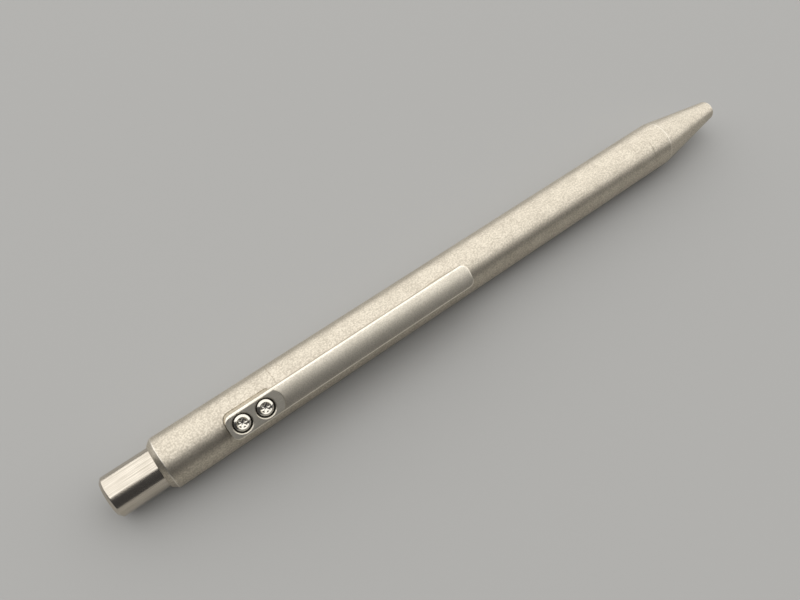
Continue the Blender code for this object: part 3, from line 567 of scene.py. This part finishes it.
@dataclass
class Assembly:
    """What every sub-assembly shares: the pen's frame, and how a piece is added."""

    pen: PenFrame

    def add(
        self, name: str, bm: Mesh, finishes: Sequence[Finish], body: Body, *nodes: str
    ) -> bpy.types.Object:
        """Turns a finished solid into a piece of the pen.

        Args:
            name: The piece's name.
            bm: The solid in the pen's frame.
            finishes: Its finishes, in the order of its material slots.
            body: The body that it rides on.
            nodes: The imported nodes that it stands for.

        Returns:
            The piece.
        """
        bmesh.ops.translate(bm, vec=self.pen.origin(), verts=bm.verts)
        piece = loose_object(bm, name)
        for finish in finishes:
            piece.data.materials.append(material_of(finish))
        piece.data.shade_smooth()
        marked = [edge.use_edge_sharp for edge in piece.data.edges]
        piece.data.set_sharp_from_angle(angle=SHARP_ANGLE)
        for edge, sharp in zip(piece.data.edges, marked):
            edge.use_edge_sharp = edge.use_edge_sharp or sharp
        even = piece.modifiers.new("even_normals", "WEIGHTED_NORMAL")
        even.keep_sharp = True
        even.weight = FACE_WEIGHT
        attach(piece, body.value)
        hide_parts(*nodes)
        log.info("%s rides on %s", name, body.value)
        return piece


@dataclass
class ClipShape:
    """Sizes of the pocket clip, along the pen, outwards from its centre line and round it (the roll)."""

    pen: PenFrame
    roll: float = math.radians(38.5)
    width: float = 4.6 * MM
    top: float = 6.8 * MM
    underside: float = 5.6 * MM
    seat: float = 4.057 * MM
    seat_gap: float = 0.02 * MM
    side_gap: float = 0.1 * MM
    crown_radius: float = 9.0 * MM
    corner: float = 1.3 * MM
    edge: float = 0.3 * MM
    foot_length: float = 8.6 * MM
    foot_fillet: float = 0.6 * MM
    land: float = 6.6 * MM
    land_past_foot: float = 1.7 * MM
    land_cutter: float = 2.4 * MM
    bump_inset: float = 2.2 * MM
    bump_length: float = 7.3 * MM
    bump_drop: float = 0.7 * MM
    bump_peak_share: float = 0.36
    counterbore: float = 1.7 * MM
    counterbore_floor: float = 5.85 * MM
    mouth_chamfer: float = 0.17 * MM
    seat_corner: float = 0.9 * MM
    screw_hole: float = 0.9 * MM

    @property
    def start(self) -> float:
        """The clip's rear end along the pen."""
        return self.pen.span("clip")[0]

    @property
    def end(self) -> float:
        """The clip's front end along the pen."""
        return self.pen.span("clip")[1]

    @property
    def foot_end(self) -> float:
        """Where the foot stops and the free arm starts."""
        return self.start + self.foot_length

    def screw_places(self) -> list[float]:
        """Where the screws stand along the pen, rear one first."""
        spans = [self.pen.span(node) for node in ("clip_screw_rear", "clip_screw_front")]
        return [(start + end) / 2 for start, end in spans]


@dataclass
class Barrel(Assembly):
    """The rear barrel, the front barrel and the nose cone, all turned from titanium bar."""

    clip: ClipShape
    radius: float = 4.8 * MM
    chamfer_length: float = 1.0 * MM
    chamfer_depth: float = 0.8 * MM
    button_bore: float = 3.85 * MM
    stem_hole: float = 2.2 * MM
    shoulder: float = 1.2 * MM
    mechanism_bore: float = 3.3 * MM
    main_bore: float = 3.35 * MM
    joint: float = 3.9 * MM
    socket: float = 4.0 * MM
    joint_length: float = 6.4 * MM
    ring_room: float = 0.66 * MM
    relief: float = 0.2 * MM
    relief_length: float = 0.8 * MM
    turned_edge: float = 0.08 * MM
    seam_edge: float = 0.07 * MM
    collar_length: float = 4.8 * MM
    nose_radius: float = 2.0 * MM
    nose_edge: float = 0.43 * MM
    nose_hole: float = 1.3 * MM
    nose_wall: float = 7.2 * MM
    spring_chamber: float = 2.3 * MM
    spring_chamber_length: float = 9.0 * MM
    holder_chamber: float = 2.65 * MM
    holder_chamber_length: float = 1.8 * MM
    chamber_taper: float = 1.2 * MM

    def build(self) -> None:
        """Builds the three pieces."""
        self.build_rear_barrel()
        self.build_front_barrel()
        self.build_nose_cone()

    def build_rear_barrel(self) -> None:
        """Builds the rear barrel with the clip's seat and the holes of its screws."""
        seam = self.pen.span("front_barrel")[0]
        stub_end = self.pen.span("rear_barrel")[1]
        bore_end = self.clip.start - self.clip.side_gap
        sleeve_start = bore_end + self.shoulder
        outline = [
            (0, self.button_bore), (0, self.radius - self.chamfer_depth),
            (self.chamfer_length, self.radius),
            (seam, self.radius), (seam, self.joint - self.relief),
            (seam + self.relief_length, self.joint - self.relief),
            (seam + self.relief_length + self.relief, self.joint),
            (stub_end - self.relief, self.joint),
            (stub_end, self.joint - self.relief), (stub_end, self.mechanism_bore),
            (sleeve_start, self.mechanism_bore), (sleeve_start, self.stem_hole),
            (bore_end, self.stem_hole), (bore_end, self.button_bore),
        ]
        bm = spun(outline)
        bevel(bm, ring(bm, 0, self.radius - self.chamfer_depth), self.turned_edge)
        bevel(bm, ring(bm, 0, self.button_bore), self.turned_edge / 2)
        bevel(bm, ring(bm, self.chamfer_length, self.radius), self.turned_edge)
        bevel(bm, ring(bm, seam, self.radius), self.seam_edge)
        bm = carved(bm, [rolled(cutter, self.clip.roll) for cutter in self.seat_cutters()])
        self.add("rear_barrel_shell", bm, [BLASTED_TITANIUM], Body.BARREL, "rear_barrel")

    def seat_cutters(self) -> list[Mesh]:
        """Makes the cutters of the clip's seat and screw holes, in the clip's own turn."""
        clip = self.clip
        half = clip.width / 2 + clip.side_gap
        rear, front = clip.start - clip.side_gap, clip.foot_end + clip.foot_fillet
        top = self.radius + OVERRUN
        seat = prism([(rear, -half), (front, -half), (front, half), (rear, half)], clip.seat, top)
        bevel(seat, self.upright(seat, rear), clip.corner + clip.side_gap, 2 * ROUNDING_STEPS)
        bevel(seat, self.upright(seat, front), clip.seat_corner, 2 * ROUNDING_STEPS)
        low = self.mechanism_bore - OVERRUN
        return [seat, *(drill(place, clip.screw_hole, low, low + top) for place in clip.screw_places())]

    @staticmethod
    def upright(bm: Mesh, place: float) -> list[Edge]:
        """Finds a cutter's upright edges at one end."""
        at_end = [edge for edge in bm.edges if all(abs(vert.co.x - place) < NEAR for vert in edge.verts)]
        return [edge for edge in at_end if abs(edge.verts[0].co.y - edge.verts[1].co.y) < NEAR]

    def build_front_barrel(self) -> None:
        """Builds the long plain tube."""
        start, end = self.pen.span("front_barrel")
        socket_end = start + self.joint_length + self.ring_room
        nose_socket = end - self.joint_length - self.ring_room
        outline = [
            (start, self.socket), (start, self.radius),
            (end, self.radius), (end, self.socket),
            (nose_socket, self.socket), (nose_socket, self.main_bore),
            (socket_end, self.main_bore), (socket_end, self.socket),
        ]
        bm = spun(outline)
        for place in (start, end):
            bevel(bm, ring(bm, place, self.radius), self.seam_edge)
        self.add("front_barrel_tube", bm, [BLASTED_TITANIUM], Body.BARREL, "front_barrel")

    def build_nose_cone(self) -> None:
        """Builds the collar and the straight cone, with the chambers inside them."""
        stub_start, end = self.pen.span("nose_cone")
        seam = self.pen.span("front_barrel")[1]
        cone_start = seam + self.collar_length
        seat = end - self.nose_wall
        spring_start = seat - self.spring_chamber_length
        holder_start = spring_start - self.holder_chamber_length
        outline = [
            (stub_start, self.mechanism_bore), (stub_start, self.joint - self.relief),
            (stub_start + self.relief, self.joint),
            (seam - self.relief_length - self.relief, self.joint),
            (seam - self.relief_length, self.joint - self.relief),
            (seam, self.joint - self.relief), (seam, self.radius),
            (cone_start, self.radius),
            (end, self.nose_radius), (end, self.nose_hole),
            (seat, self.nose_hole), (seat, self.spring_chamber),
            (spring_start, self.spring_chamber), (spring_start, self.holder_chamber),
            (holder_start, self.holder_chamber),
            (holder_start - self.chamber_taper, self.mechanism_bore),
        ]
        bm = spun(outline)
        bevel(bm, ring(bm, seam, self.radius), self.seam_edge)
        bevel(bm, ring(bm, cone_start, self.radius), self.turned_edge)
        bevel(bm, ring(bm, end, self.nose_hole), self.turned_edge)
        bevel(bm, ring(bm, end, self.nose_radius), self.nose_edge, 2 * ROUNDING_STEPS)
        self.add("nose_cone_shell", bm, [BLASTED_TITANIUM], Body.BARREL, "nose_cone")


@dataclass
class Clip(Assembly):
    """The milled pocket clip and its two screws."""

    shape: ClipShape
    crown_strips: int = 12
    bump_steps: int = 24
    upright_slope: float = 0.3
    upper_slope: float = 0.8
    level_slope: float = 0.999
    head_radius: float = 1.48 * MM
    head_height: float = 0.95 * MM
    head_rim: float = 0.47 * MM
    head_edge: float = 0.06 * MM
    screw_seat_gap: float = 0.02 * MM
    shank_length: float = 2.5 * MM
    shank_radius: float = 0.8 * MM
    drive_radius: float = 0.74 * MM
    drive_lobes: int = 6
    drive_lobe_share: float = 0.22
    drive_depth: float = 0.45 * MM
    drive_point: float = 0.45 * MM
    drive_mouth: float = 1.02 * MM
    drive_mouth_depth: float = 0.2 * MM

    def build(self) -> None:
        """Builds the clip and both screws."""
        self.build_clip()
        for name, place in zip(("clip_screw_rear", "clip_screw_front"), self.shape.screw_places()):
            self.build_screw(name, place)

    def side_outline(self) -> Outline:
        """The clip's side view, as points (place along the pen, distance from the centre line)."""
        shape = self.shape
        foot = shape.seat + shape.seat_gap
        middle = (shape.foot_end + shape.foot_fillet, shape.underside - shape.foot_fillet)
        fillet = arc(middle, shape.foot_fillet, math.pi / 2, math.pi, 2 * ROUNDING_STEPS)
        bump_end = shape.end - shape.bump_inset
        shares = [step / self.bump_steps for step in range(self.bump_steps + 1)]
        bump = [(bump_end - shape.bump_length * share, self.bump_line(1 - share)) for share in shares]
        return [
            (shape.start, foot), (shape.start, shape.top),
            (shape.end, shape.top), (shape.end, shape.underside),
            *bump,
            *fillet,
            (shape.foot_end, foot),
        ]

    def bump_line(self, share: float) -> float:
        """How far from the centre line the contact bump is at a share of its length."""
        peak = self.shape.bump_peak_share
        phase = share / peak if share < peak else (1 - share) / (1 - peak)
        return self.shape.underside - self.shape.bump_drop * math.sin(phase * math.pi / 2) ** 2

    def blank(self) -> Mesh:
        """Makes the clip before its land and holes are milled, with its width along Y."""
        shape = self.shape
        half = shape.width / 2
        bm = prism(self.side_outline(), -half, half)
        bmesh.ops.rotate(bm, cent=(0, 0, 0), matrix=Matrix.Rotation(math.pi / 2, 3, "X"), verts=bm.verts)
        bmesh.ops.recalc_face_normals(bm, faces=bm.faces)
        corners = [edge for edge in bm.edges if self.is_corner(edge)]
        bevel(bm, corners, shape.corner, 3 * ROUNDING_STEPS)
        for strip in range(1, self.crown_strips):
            place = half * (2 * strip / self.crown_strips - 1)
            all_of_it = [*bm.verts, *bm.edges, *bm.faces]
            plane = {"plane_co": (0, place, 0), "plane_no": (0, 1, 0)}
            bmesh.ops.bisect_plane(bm, geom=all_of_it, dist=WELD, **plane)
        for vert in bm.verts:
            if vert.co.z > shape.top - NEAR:
                fall = shape.crown_radius - math.sqrt(shape.crown_radius**2 - vert.co.y**2)
                vert.co.z = shape.top - fall
        bm.normal_update()
        rim = [edge for edge in bm.edges if self.is_rim(edge)]
        # The rounded rim gets the rubbed finish: real rubbing, and a painted highlight.
        bevel(bm, rim, shape.edge, finish=ClipFinish.RUBBED_HIGHLIT)
        return bm

    def is_corner(self, edge: Edge) -> bool:
        """Whether an edge of the blank is an upright one at either end."""
        one, two = (vert.co for vert in edge.verts)
        upright = abs(one.z - two.z) > self.shape.edge and (one.xy - two.xy).length < NEAR
        return upright and min(abs(one.x - self.shape.start), abs(one.x - self.shape.end)) < NEAR

    def is_rim(self, edge: Edge) -> bool:
        """Whether an edge lies between the upper face and an upright one."""
        slopes = sorted(face.normal.z for face in edge.link_faces)
        return len(slopes) == 2 and slopes[0] < self.upright_slope and slopes[1] > self.upper_slope

    def build_clip(self) -> None:
        """Mills the land, the counterbores and the holes, and adds the clip."""
        shape = self.shape
        half = shape.width / 2 + OVERRUN
        above = shape.top + OVERRUN
        reach = math.asin(shape.width / 2 / shape.land_cutter)
        centre = (shape.foot_end + shape.land_past_foot - shape.land_cutter, 0)
        front = arc(centre, shape.land_cutter, -reach, reach, 6 * ROUNDING_STEPS)
        rear = shape.start - OVERRUN
        plan = [(rear, -half), (front[0][0], -half), *front, (front[-1][0], half), (rear, half)]
        cutters = [prism(plan, shape.land, above)]
        for place in shape.screw_places():
            hole = drill(place, shape.screw_hole, shape.seat - OVERRUN, shape.top)
            cutters += [self.counterbore(place), hole]
        bm = carved(self.blank(), cutters)
        self.mark_milled(bm)
        # The face's paler colour stands in for light, the rim's for a highlight, and the bores' dark
        # colour for shade.
        finishes = [TUMBLED_LIT_TITANIUM, MILLED_TITANIUM, RUBBED_HIGHLIT_TITANIUM, SHADED_BORE_TITANIUM]
        self.add("pocket_clip", rolled(bm, shape.roll), finishes, Body.BARREL, "clip")

    def counterbore(self, place: float) -> Mesh:
        """Makes the cutter of a counterbore with its chamfered mouth."""
        shape = self.shape
        mouth = shape.land - shape.mouth_chamfer
        above = shape.top + OVERRUN
        outline = [
            (shape.counterbore_floor, 0), (shape.counterbore_floor, shape.counterbore),
            (mouth, shape.counterbore),
            (above, shape.counterbore + above - mouth), (above, 0),
        ]
        return stood_up(spun(outline, SMALL_STEPS), place)

    def mark_milled(self, bm: Mesh) -> None:
        """Gives the land and the counterbores their finishes, with crisp borders; the counterbores below
        their mouths are painted dark as shade.
        """
        shape = self.shape
        bm.normal_update()
        for face in bm.faces:
            middle = face.calc_center_median()
            on_land = face.normal.z > self.level_slope and abs(middle.z - shape.land) < NEAR
            nearest = min(math.hypot(middle.x - place, middle.y) for place in shape.screw_places())
            above_floor = middle.z > shape.counterbore_floor - NEAR
            in_bore = above_floor and nearest < shape.counterbore + shape.mouth_chamfer
            # Below the mouth's chamfer, the counterbore's walls and floor are painted dark: painted
            # shade.
            if in_bore and middle.z < shape.land - shape.mouth_chamfer:
                face.material_index = ClipFinish.SHADED_BORE
            elif on_land or in_bore:
                face.material_index = ClipFinish.MILLED
        cut = (ClipFinish.MILLED, ClipFinish.SHADED_BORE)
        for edge in bm.edges:
            if len({face.material_index in cut for face in edge.link_faces}) > 1:
                edge.smooth = False

    def build_screw(self, name: str, place: float) -> None:
        """Builds a button-head screw with a six-lobed drive.

        Args:
            name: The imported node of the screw.
            place: Where it stands along the pen.
        """
        seat = self.shape.counterbore_floor + self.screw_seat_gap
        start = seat - self.shank_length
        crown = self.head_height - self.head_rim
        dome = (self.head_radius**2 + crown**2) / (2 * crown)
        top = seat + self.head_height
        half_angle = math.asin(self.head_radius / dome)
        outline = [
            (start, 0), (start, self.shank_radius),
            (seat, self.shank_radius), (seat, self.head_radius),
            *arc((top - dome, 0), dome, half_angle, 0, 3 * ROUNDING_STEPS),
        ]
        bm = spun(outline, SMALL_STEPS)
        rim = ring(bm, seat + self.head_rim, self.head_radius)
        bevel(bm, rim, self.head_edge, SMALL_ROUNDING_STEPS)
        fall = dome - math.sqrt(dome**2 - self.drive_mouth**2)
        bm = carved(stood_up(bm, 0), [self.drive(top), self.drive_mouth_cutter(top - fall)])
        bmesh.ops.translate(bm, vec=(place, 0, 0), verts=bm.verts)
        rolled(bm, self.shape.roll)
        self.add(name + "_head_and_shank", bm, [POLISHED_STEEL], Body.BARREL, name)

    def drive(self, top: float) -> Mesh:
        """Makes the cutter of the six-lobed drive, which ends in a drill point."""
        bm = bmesh.new()
        made = bmesh.ops.create_circle(bm, cap_ends=True, segments=SMALL_STEPS, radius=self.drive_radius)
        for vert in made["verts"]:
            angle = math.atan2(vert.co.y, vert.co.x)
            vert.co *= 1 + self.drive_lobe_share * math.cos(self.drive_lobes * angle)
        bmesh.ops.translate(bm, vec=(0, 0, top - self.drive_depth), verts=bm.verts)
        floor = bm.faces[:]
        raise_copy(bm, floor[0], self.drive_depth + OVERRUN)
        point = bmesh.ops.poke(bm, faces=floor)
        bmesh.ops.translate(bm, vec=(0, 0, -self.drive_point), verts=point["verts"])
        bmesh.ops.recalc_face_normals(bm, faces=bm.faces)
        return bm

    def drive_mouth_cutter(self, rim: float) -> Mesh:
        """Makes the cutter of the drive's countersunk mouth, whose rim lies at a given height."""
        floor = self.drive_mouth_depth
        outline = [
            (rim - floor, 0), (rim - floor, self.drive_mouth - floor),
            (rim + OVERRUN, self.drive_mouth + OVERRUN), (rim + OVERRUN, 0),
        ]
        return stood_up(spun(outline, SMALL_STEPS), 0)


@dataclass
class Button(Assembly):
    """The polished push button."""

    radius: float = 3.75 * MM
    chamfer_length: float = 0.55 * MM
    chamfer_depth: float = 0.6 * MM
    cap: float = 2.9 * MM
    bore: float = 2.15 * MM
    edge: float = 0.07 * MM

    def build(self) -> None:
        """Builds the button."""
        rear, front = self.pen.span("push_button")
        face = self.radius - self.chamfer_depth
        outline = [
            (rear, 0), (rear, face),
            (rear + self.chamfer_length, self.radius),
            (front, self.radius), (front, self.bore),
            (rear + self.cap, self.bore), (rear + self.cap, 0),
        ]
        bm = spun(outline)
        bevel(bm, ring(bm, rear, face), self.edge)
        bevel(bm, ring(bm, rear + self.chamfer_length, self.radius), self.edge)
        bevel(bm, ring(bm, front, self.radius), self.edge)
        self.add("push_button_cap", bm, [POLISHED_TITANIUM], Body.BUTTON, "push_button")


@dataclass
class ReturnSpring(Assembly):
    """The coil in the nose cone, built at one length; the real one shortens when the refill moves
    forward.
    """

    radius: float = 1.95 * MM
    wire: float = 0.2 * MM
    turns: int = 13
    closed_pitch: float = 0.43 * MM
    stroke: float = 5.6 * MM
    steps_per_turn: int = 40
    wire_steps: int = 12

    def build(self) -> None:
        """Winds the coil with one closed turn at each end."""
        start, end = self.pen.span("return_spring")
        first, last = start + self.wire, end - self.wire
        open_turns = self.turns - 2
        open_pitch = (last - first - 2 * self.closed_pitch) / open_turns
        bm = bmesh.new()
        bmesh.ops.create_circle(bm, segments=self.wire_steps, radius=self.wire)
        turn = Matrix.Translation((first, 0, self.radius))
        bmesh.ops.transform(bm, matrix=turn @ Matrix.Rotation(math.pi / 2, 4, "X"), verts=bm.verts)
        section: list = [*bm.verts, *bm.edges]
        for turns, pitch in ((1, self.closed_pitch), (open_turns, open_pitch), (1, self.closed_pitch)):
            climb = (pitch / self.steps_per_turn, 0, 0)
            coil = {"dvec": climb, "angle": 2 * math.pi * turns, "steps": self.steps_per_turn * turns}
            section = bmesh.ops.spin(bm, geom=section, **CENTRE_LINE, **coil)["geom_last"]
        bmesh.ops.holes_fill(bm, edges=[edge for edge in bm.edges if edge.is_boundary], sides=0)
        bmesh.ops.recalc_face_normals(bm, faces=bm.faces)
        piece = self.add("return_spring_coil", bm, [SPRING_STEEL], Body.BARREL, "return_spring")
        fixed_end = self.pen.origin() + Vector((end, 0, 0))
        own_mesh(piece)


@dataclass
class Seals(Assembly):
    """The rubber rings that seal and silence the two joints of the barrel."""

    middle: float = 3.675 * MM

    def build(self) -> None:
        """Builds both rings."""
        for node in ("o_ring_rear", "o_ring_front"):
            start, end = self.pen.span(node)
            centre = ((start + end) / 2, self.middle)
            section = arc(centre, (end - start) / 2, 0, 2 * math.pi, 8 * ROUNDING_STEPS)[:-1]
            self.add(node + "_round", spun(section, SMALL_STEPS), [BLACK_NITRILE], Body.BARREL, node)


@dataclass
class Refill(Assembly):
    """The gel refill: a clear tube with its plug, tip holder, metal point, ball and filling."""

    radius: float = 3.05 * MM
    bore: float = 2.35 * MM
    seat_gap: float = 0.03 * MM
    edge: float = 0.08 * MM
    plug_length: float = 3.0 * MM
    plug_socket: float = 1.3 * MM
    plug_socket_depth: float = 1.6 * MM
    spigot: float = 2.3 * MM
    collar_length: float = 2.0 * MM
    shoulder: float = 2.4 * MM
    taper_length: float = 2.4 * MM
    neck: float = 1.7 * MM
    channel: float = 0.7 * MM
    shank_hole: float = 0.95 * MM
    shank: float = 0.9 * MM
    shank_length: float = 4.0 * MM
    point: float = 1.15 * MM
    point_cone: float = 2.6 * MM
    point_end: float = 0.55 * MM
    point_channel: float = 0.25 * MM
    ball: float = 0.35 * MM
    ball_room: float = 0.04 * MM
    filling: float = 2.3 * MM

    def build(self) -> None:
        """Builds every piece of the refill."""
        self.build_tube()
        self.build_end_plug()
        self.build_tip_holder()
        self.build_point()
        self.build_filling()

    def turned(self, node: str, outline: Outline, finish: Finish, rounded: Outline = ()) -> None:
        """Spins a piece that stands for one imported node.

        Args:
            node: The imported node.
            outline: Half its section.
            finish: Its finish.
            rounded: The outline's corners whose edges are rounded.
        """
        bm = spun(outline, SMALL_STEPS)
        for place, radius in rounded:
            bevel(bm, ring(bm, place, radius), self.edge, SMALL_ROUNDING_STEPS)
        self.add(node + "_turned", bm, [finish], Body.REFILL, node)

    def build_tube(self) -> None:
        """Builds the clear tube."""
        start, end = self.pen.span("refill_tube")
        outline = [(start, self.bore), (start, self.radius), (end, self.radius), (end, self.bore)]
        self.turned("refill_tube", outline, CLEAR_POLYPROPYLENE, outline[1:3])

    def build_end_plug(self) -> None:
        """Builds the plug that the rotor pushes."""
        start, end = self.pen.span("refill_end_plug")
        flange = start + self.plug_length - self.seat_gap
        floor = start + self.plug_socket_depth
        outline = [
            (start, self.plug_socket), (start, self.radius),
            (flange, self.radius), (flange, self.spigot),
            (end, self.spigot), (end, 0),
            (floor, 0), (floor, self.plug_socket),
        ]
        self.turned("refill_end_plug", outline, GREY_POLYPROPYLENE, outline[1:3])

    def build_tip_holder(self) -> None:
        """Builds the moulded holder that joins the tube to the point."""
        start, end = self.pen.span("refill_tip_holder")
        collar = self.pen.span("refill_tube")[1] + self.seat_gap
        taper = collar - self.seat_gap + self.collar_length
        shoulder = taper + self.taper_length
        floor = end - self.shank_length
        outline = [
            (start, self.spigot),
            (collar, self.spigot), (collar, self.radius),
            (taper, self.radius),
            (shoulder, self.shoulder), (shoulder, self.neck),
            (end, self.neck), (end, self.shank_hole),
            (floor, self.shank_hole), (floor, self.channel),
            (start, self.channel),
        ]
        rounded = [outline[3], outline[4], outline[6]]
        self.turned("refill_tip_holder", outline, CLEAR_POLYPROPYLENE, rounded)

    def build_point(self) -> None:
        """Builds the metal point and the ball in its socket."""
        start, rim = self.pen.span("refill_point")
        ball_start, tip = self.pen.span("refill_ball")
        socket = self.ball + self.ball_room
        floor = ball_start - self.ball_room
        flange = start + self.shank_length
        outline = [
            (start, self.point_channel), (start, self.shank),
            (flange, self.shank), (flange, self.point),
            (tip - self.point_cone, self.point),
            (rim, self.point_end), (rim, socket),
            (floor, socket), (floor, self.point_channel),
        ]
        self.turned("refill_point", outline, POLISHED_STEEL, outline[3:5])
        bm = bmesh.new()
        around, down = SMALL_STEPS // 2, SMALL_STEPS // 4
        bmesh.ops.create_uvsphere(bm, u_segments=around, v_segments=down, radius=self.ball)
        bmesh.ops.translate(bm, vec=(tip - self.ball, 0, 0), verts=bm.verts)
        self.add("refill_ball_round", bm, [TUNGSTEN_CARBIDE], Body.REFILL, "refill_ball")

    def build_filling(self) -> None:
        """Builds the ink and the grease that follows it up the tube."""
        for node, finish in (("ink_column", BLACK_GEL_INK), ("grease_follower", CLEAR_GREASE)):
            start, end = self.pen.span(node)
            self.turned(node, [(start, 0), (start, self.filling), (end, self.filling), (end, 0)], finish)


@dataclass
class Studio:
    """The pale floor under the barrel, the soft light and the photographer's camera."""

    pen: PenFrame
    barrel_radius: float
    floor_half: float = 4.0
    floor_colour: str = "#A8A7A4"
    floor_roughness: float = 0.9
    floor_specular: float = 0.2
    softbox_distance: float = 2.5
    softbox_length: float = 40.0
    softbox_low: float = math.radians(-86)
    softbox_high: float = math.radians(28)
    softbox_heading: float = math.radians(32.6)
    softbox_radiance: float = 1.45
    room: tuple[float, float, float] = (0.06, 0.06, 0.064)
    camera_place: float = 9.14 * MM
    camera_aside: float = 53.76 * MM
    camera_above: float = 114.24 * MM
    camera_heading: float = math.radians(37.12)
    camera_dip: float = math.radians(58.68)
    camera_lens: float = 31.9
    camera_sensor: float = 36.0
    camera_near: float = 5.0 * MM

    def build(self) -> None:
        """Builds everything round the pen."""
        self.build_floor()
        self.build_light()
        self.build_camera()
        bpy.context.scene.view_settings.view_transform = "Standard"

    def build_floor(self) -> None:
        """Lays the floor under the round barrel."""
        bm = bmesh.new()
        bmesh.ops.create_grid(bm, x_segments=1, y_segments=1, size=self.floor_half)
        bmesh.ops.translate(bm, vec=(0, 0, self.pen.centre_z - self.barrel_radius), verts=bm.verts)
        floor = loose_object(bm, "floor")
        material, tree, shader = new_material("pale_floor")
        matt = {"Roughness": self.floor_roughness, "Specular IOR Level": self.floor_specular}
        fill_inputs(tree, shader, {"Base Color": linear(self.floor_colour), **matt})
        floor.data.materials.append(material)

    def build_light(self) -> None:
        """Hangs one large softbox over the far side, and dims the room."""
        middle = (self.softbox_low + self.softbox_high) / 2
        half_span = (self.softbox_high - self.softbox_low) / 2
        lamp = bpy.data.lights.new("softbox", "AREA")
        lamp.shape = "RECTANGLE"
        lamp.size = self.softbox_length
        lamp.size_y = 2 * self.softbox_distance * math.tan(half_span)
        lamp.energy = self.softbox_radiance * math.pi * lamp.size * lamp.size_y
        softbox = bpy.data.objects.new("softbox", lamp)
        softbox.rotation_euler = (middle, 0, -self.softbox_heading)
        softbox.location = softbox.rotation_euler.to_matrix() @ Vector((0, 0, self.softbox_distance))
        softbox.visible_camera = False
        bpy.context.scene.collection.objects.link(softbox)
        world = bpy.data.worlds.new("room")
        world.use_nodes = True
        world.node_tree.nodes["Background"].inputs["Color"].default_value = (*self.room, 1)
        bpy.context.scene.world = world

    def build_camera(self) -> None:
        """Sets the camera where the photographer held it."""
        camera = bpy.data.cameras.new("photographer")
        camera.lens = self.camera_lens
        camera.sensor_width = self.camera_sensor
        camera.clip_start = self.camera_near
        holder = bpy.data.objects.new("photographer", camera)
        away = Vector((self.camera_place, -self.camera_aside, self.camera_above))
        holder.location = self.pen.origin() + away
        holder.rotation_euler = (math.pi / 2 - self.camera_dip, 0, -self.camera_heading)
        bpy.context.scene.collection.objects.link(holder)
        bpy.context.scene.camera = holder


def dress_packed_nodes() -> None:
    """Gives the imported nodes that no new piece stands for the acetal's material."""
    for name in ("plunger", "ratchet_sleeve", "indexing_rotor"):
        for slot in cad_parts[name].material_slots:
            slot.material = material_of(WHITE_ACETAL)


def main() -> None:
    """Builds the pen and the studio."""
    logging.basicConfig(level=logging.INFO, format="%(message)s")
    pen = PenFrame.from_model()
    clip_shape = ClipShape(pen)
    barrel = Barrel(pen, clip_shape)
    barrel.build()
    Clip(pen, clip_shape).build()
    Button(pen).build()
    ReturnSpring(pen).build()
    Refill(pen).build()
    Seals(pen).build()
    dress_packed_nodes()
    Studio(pen, barrel.radius).build()


if __name__ == "__main__":
    main()
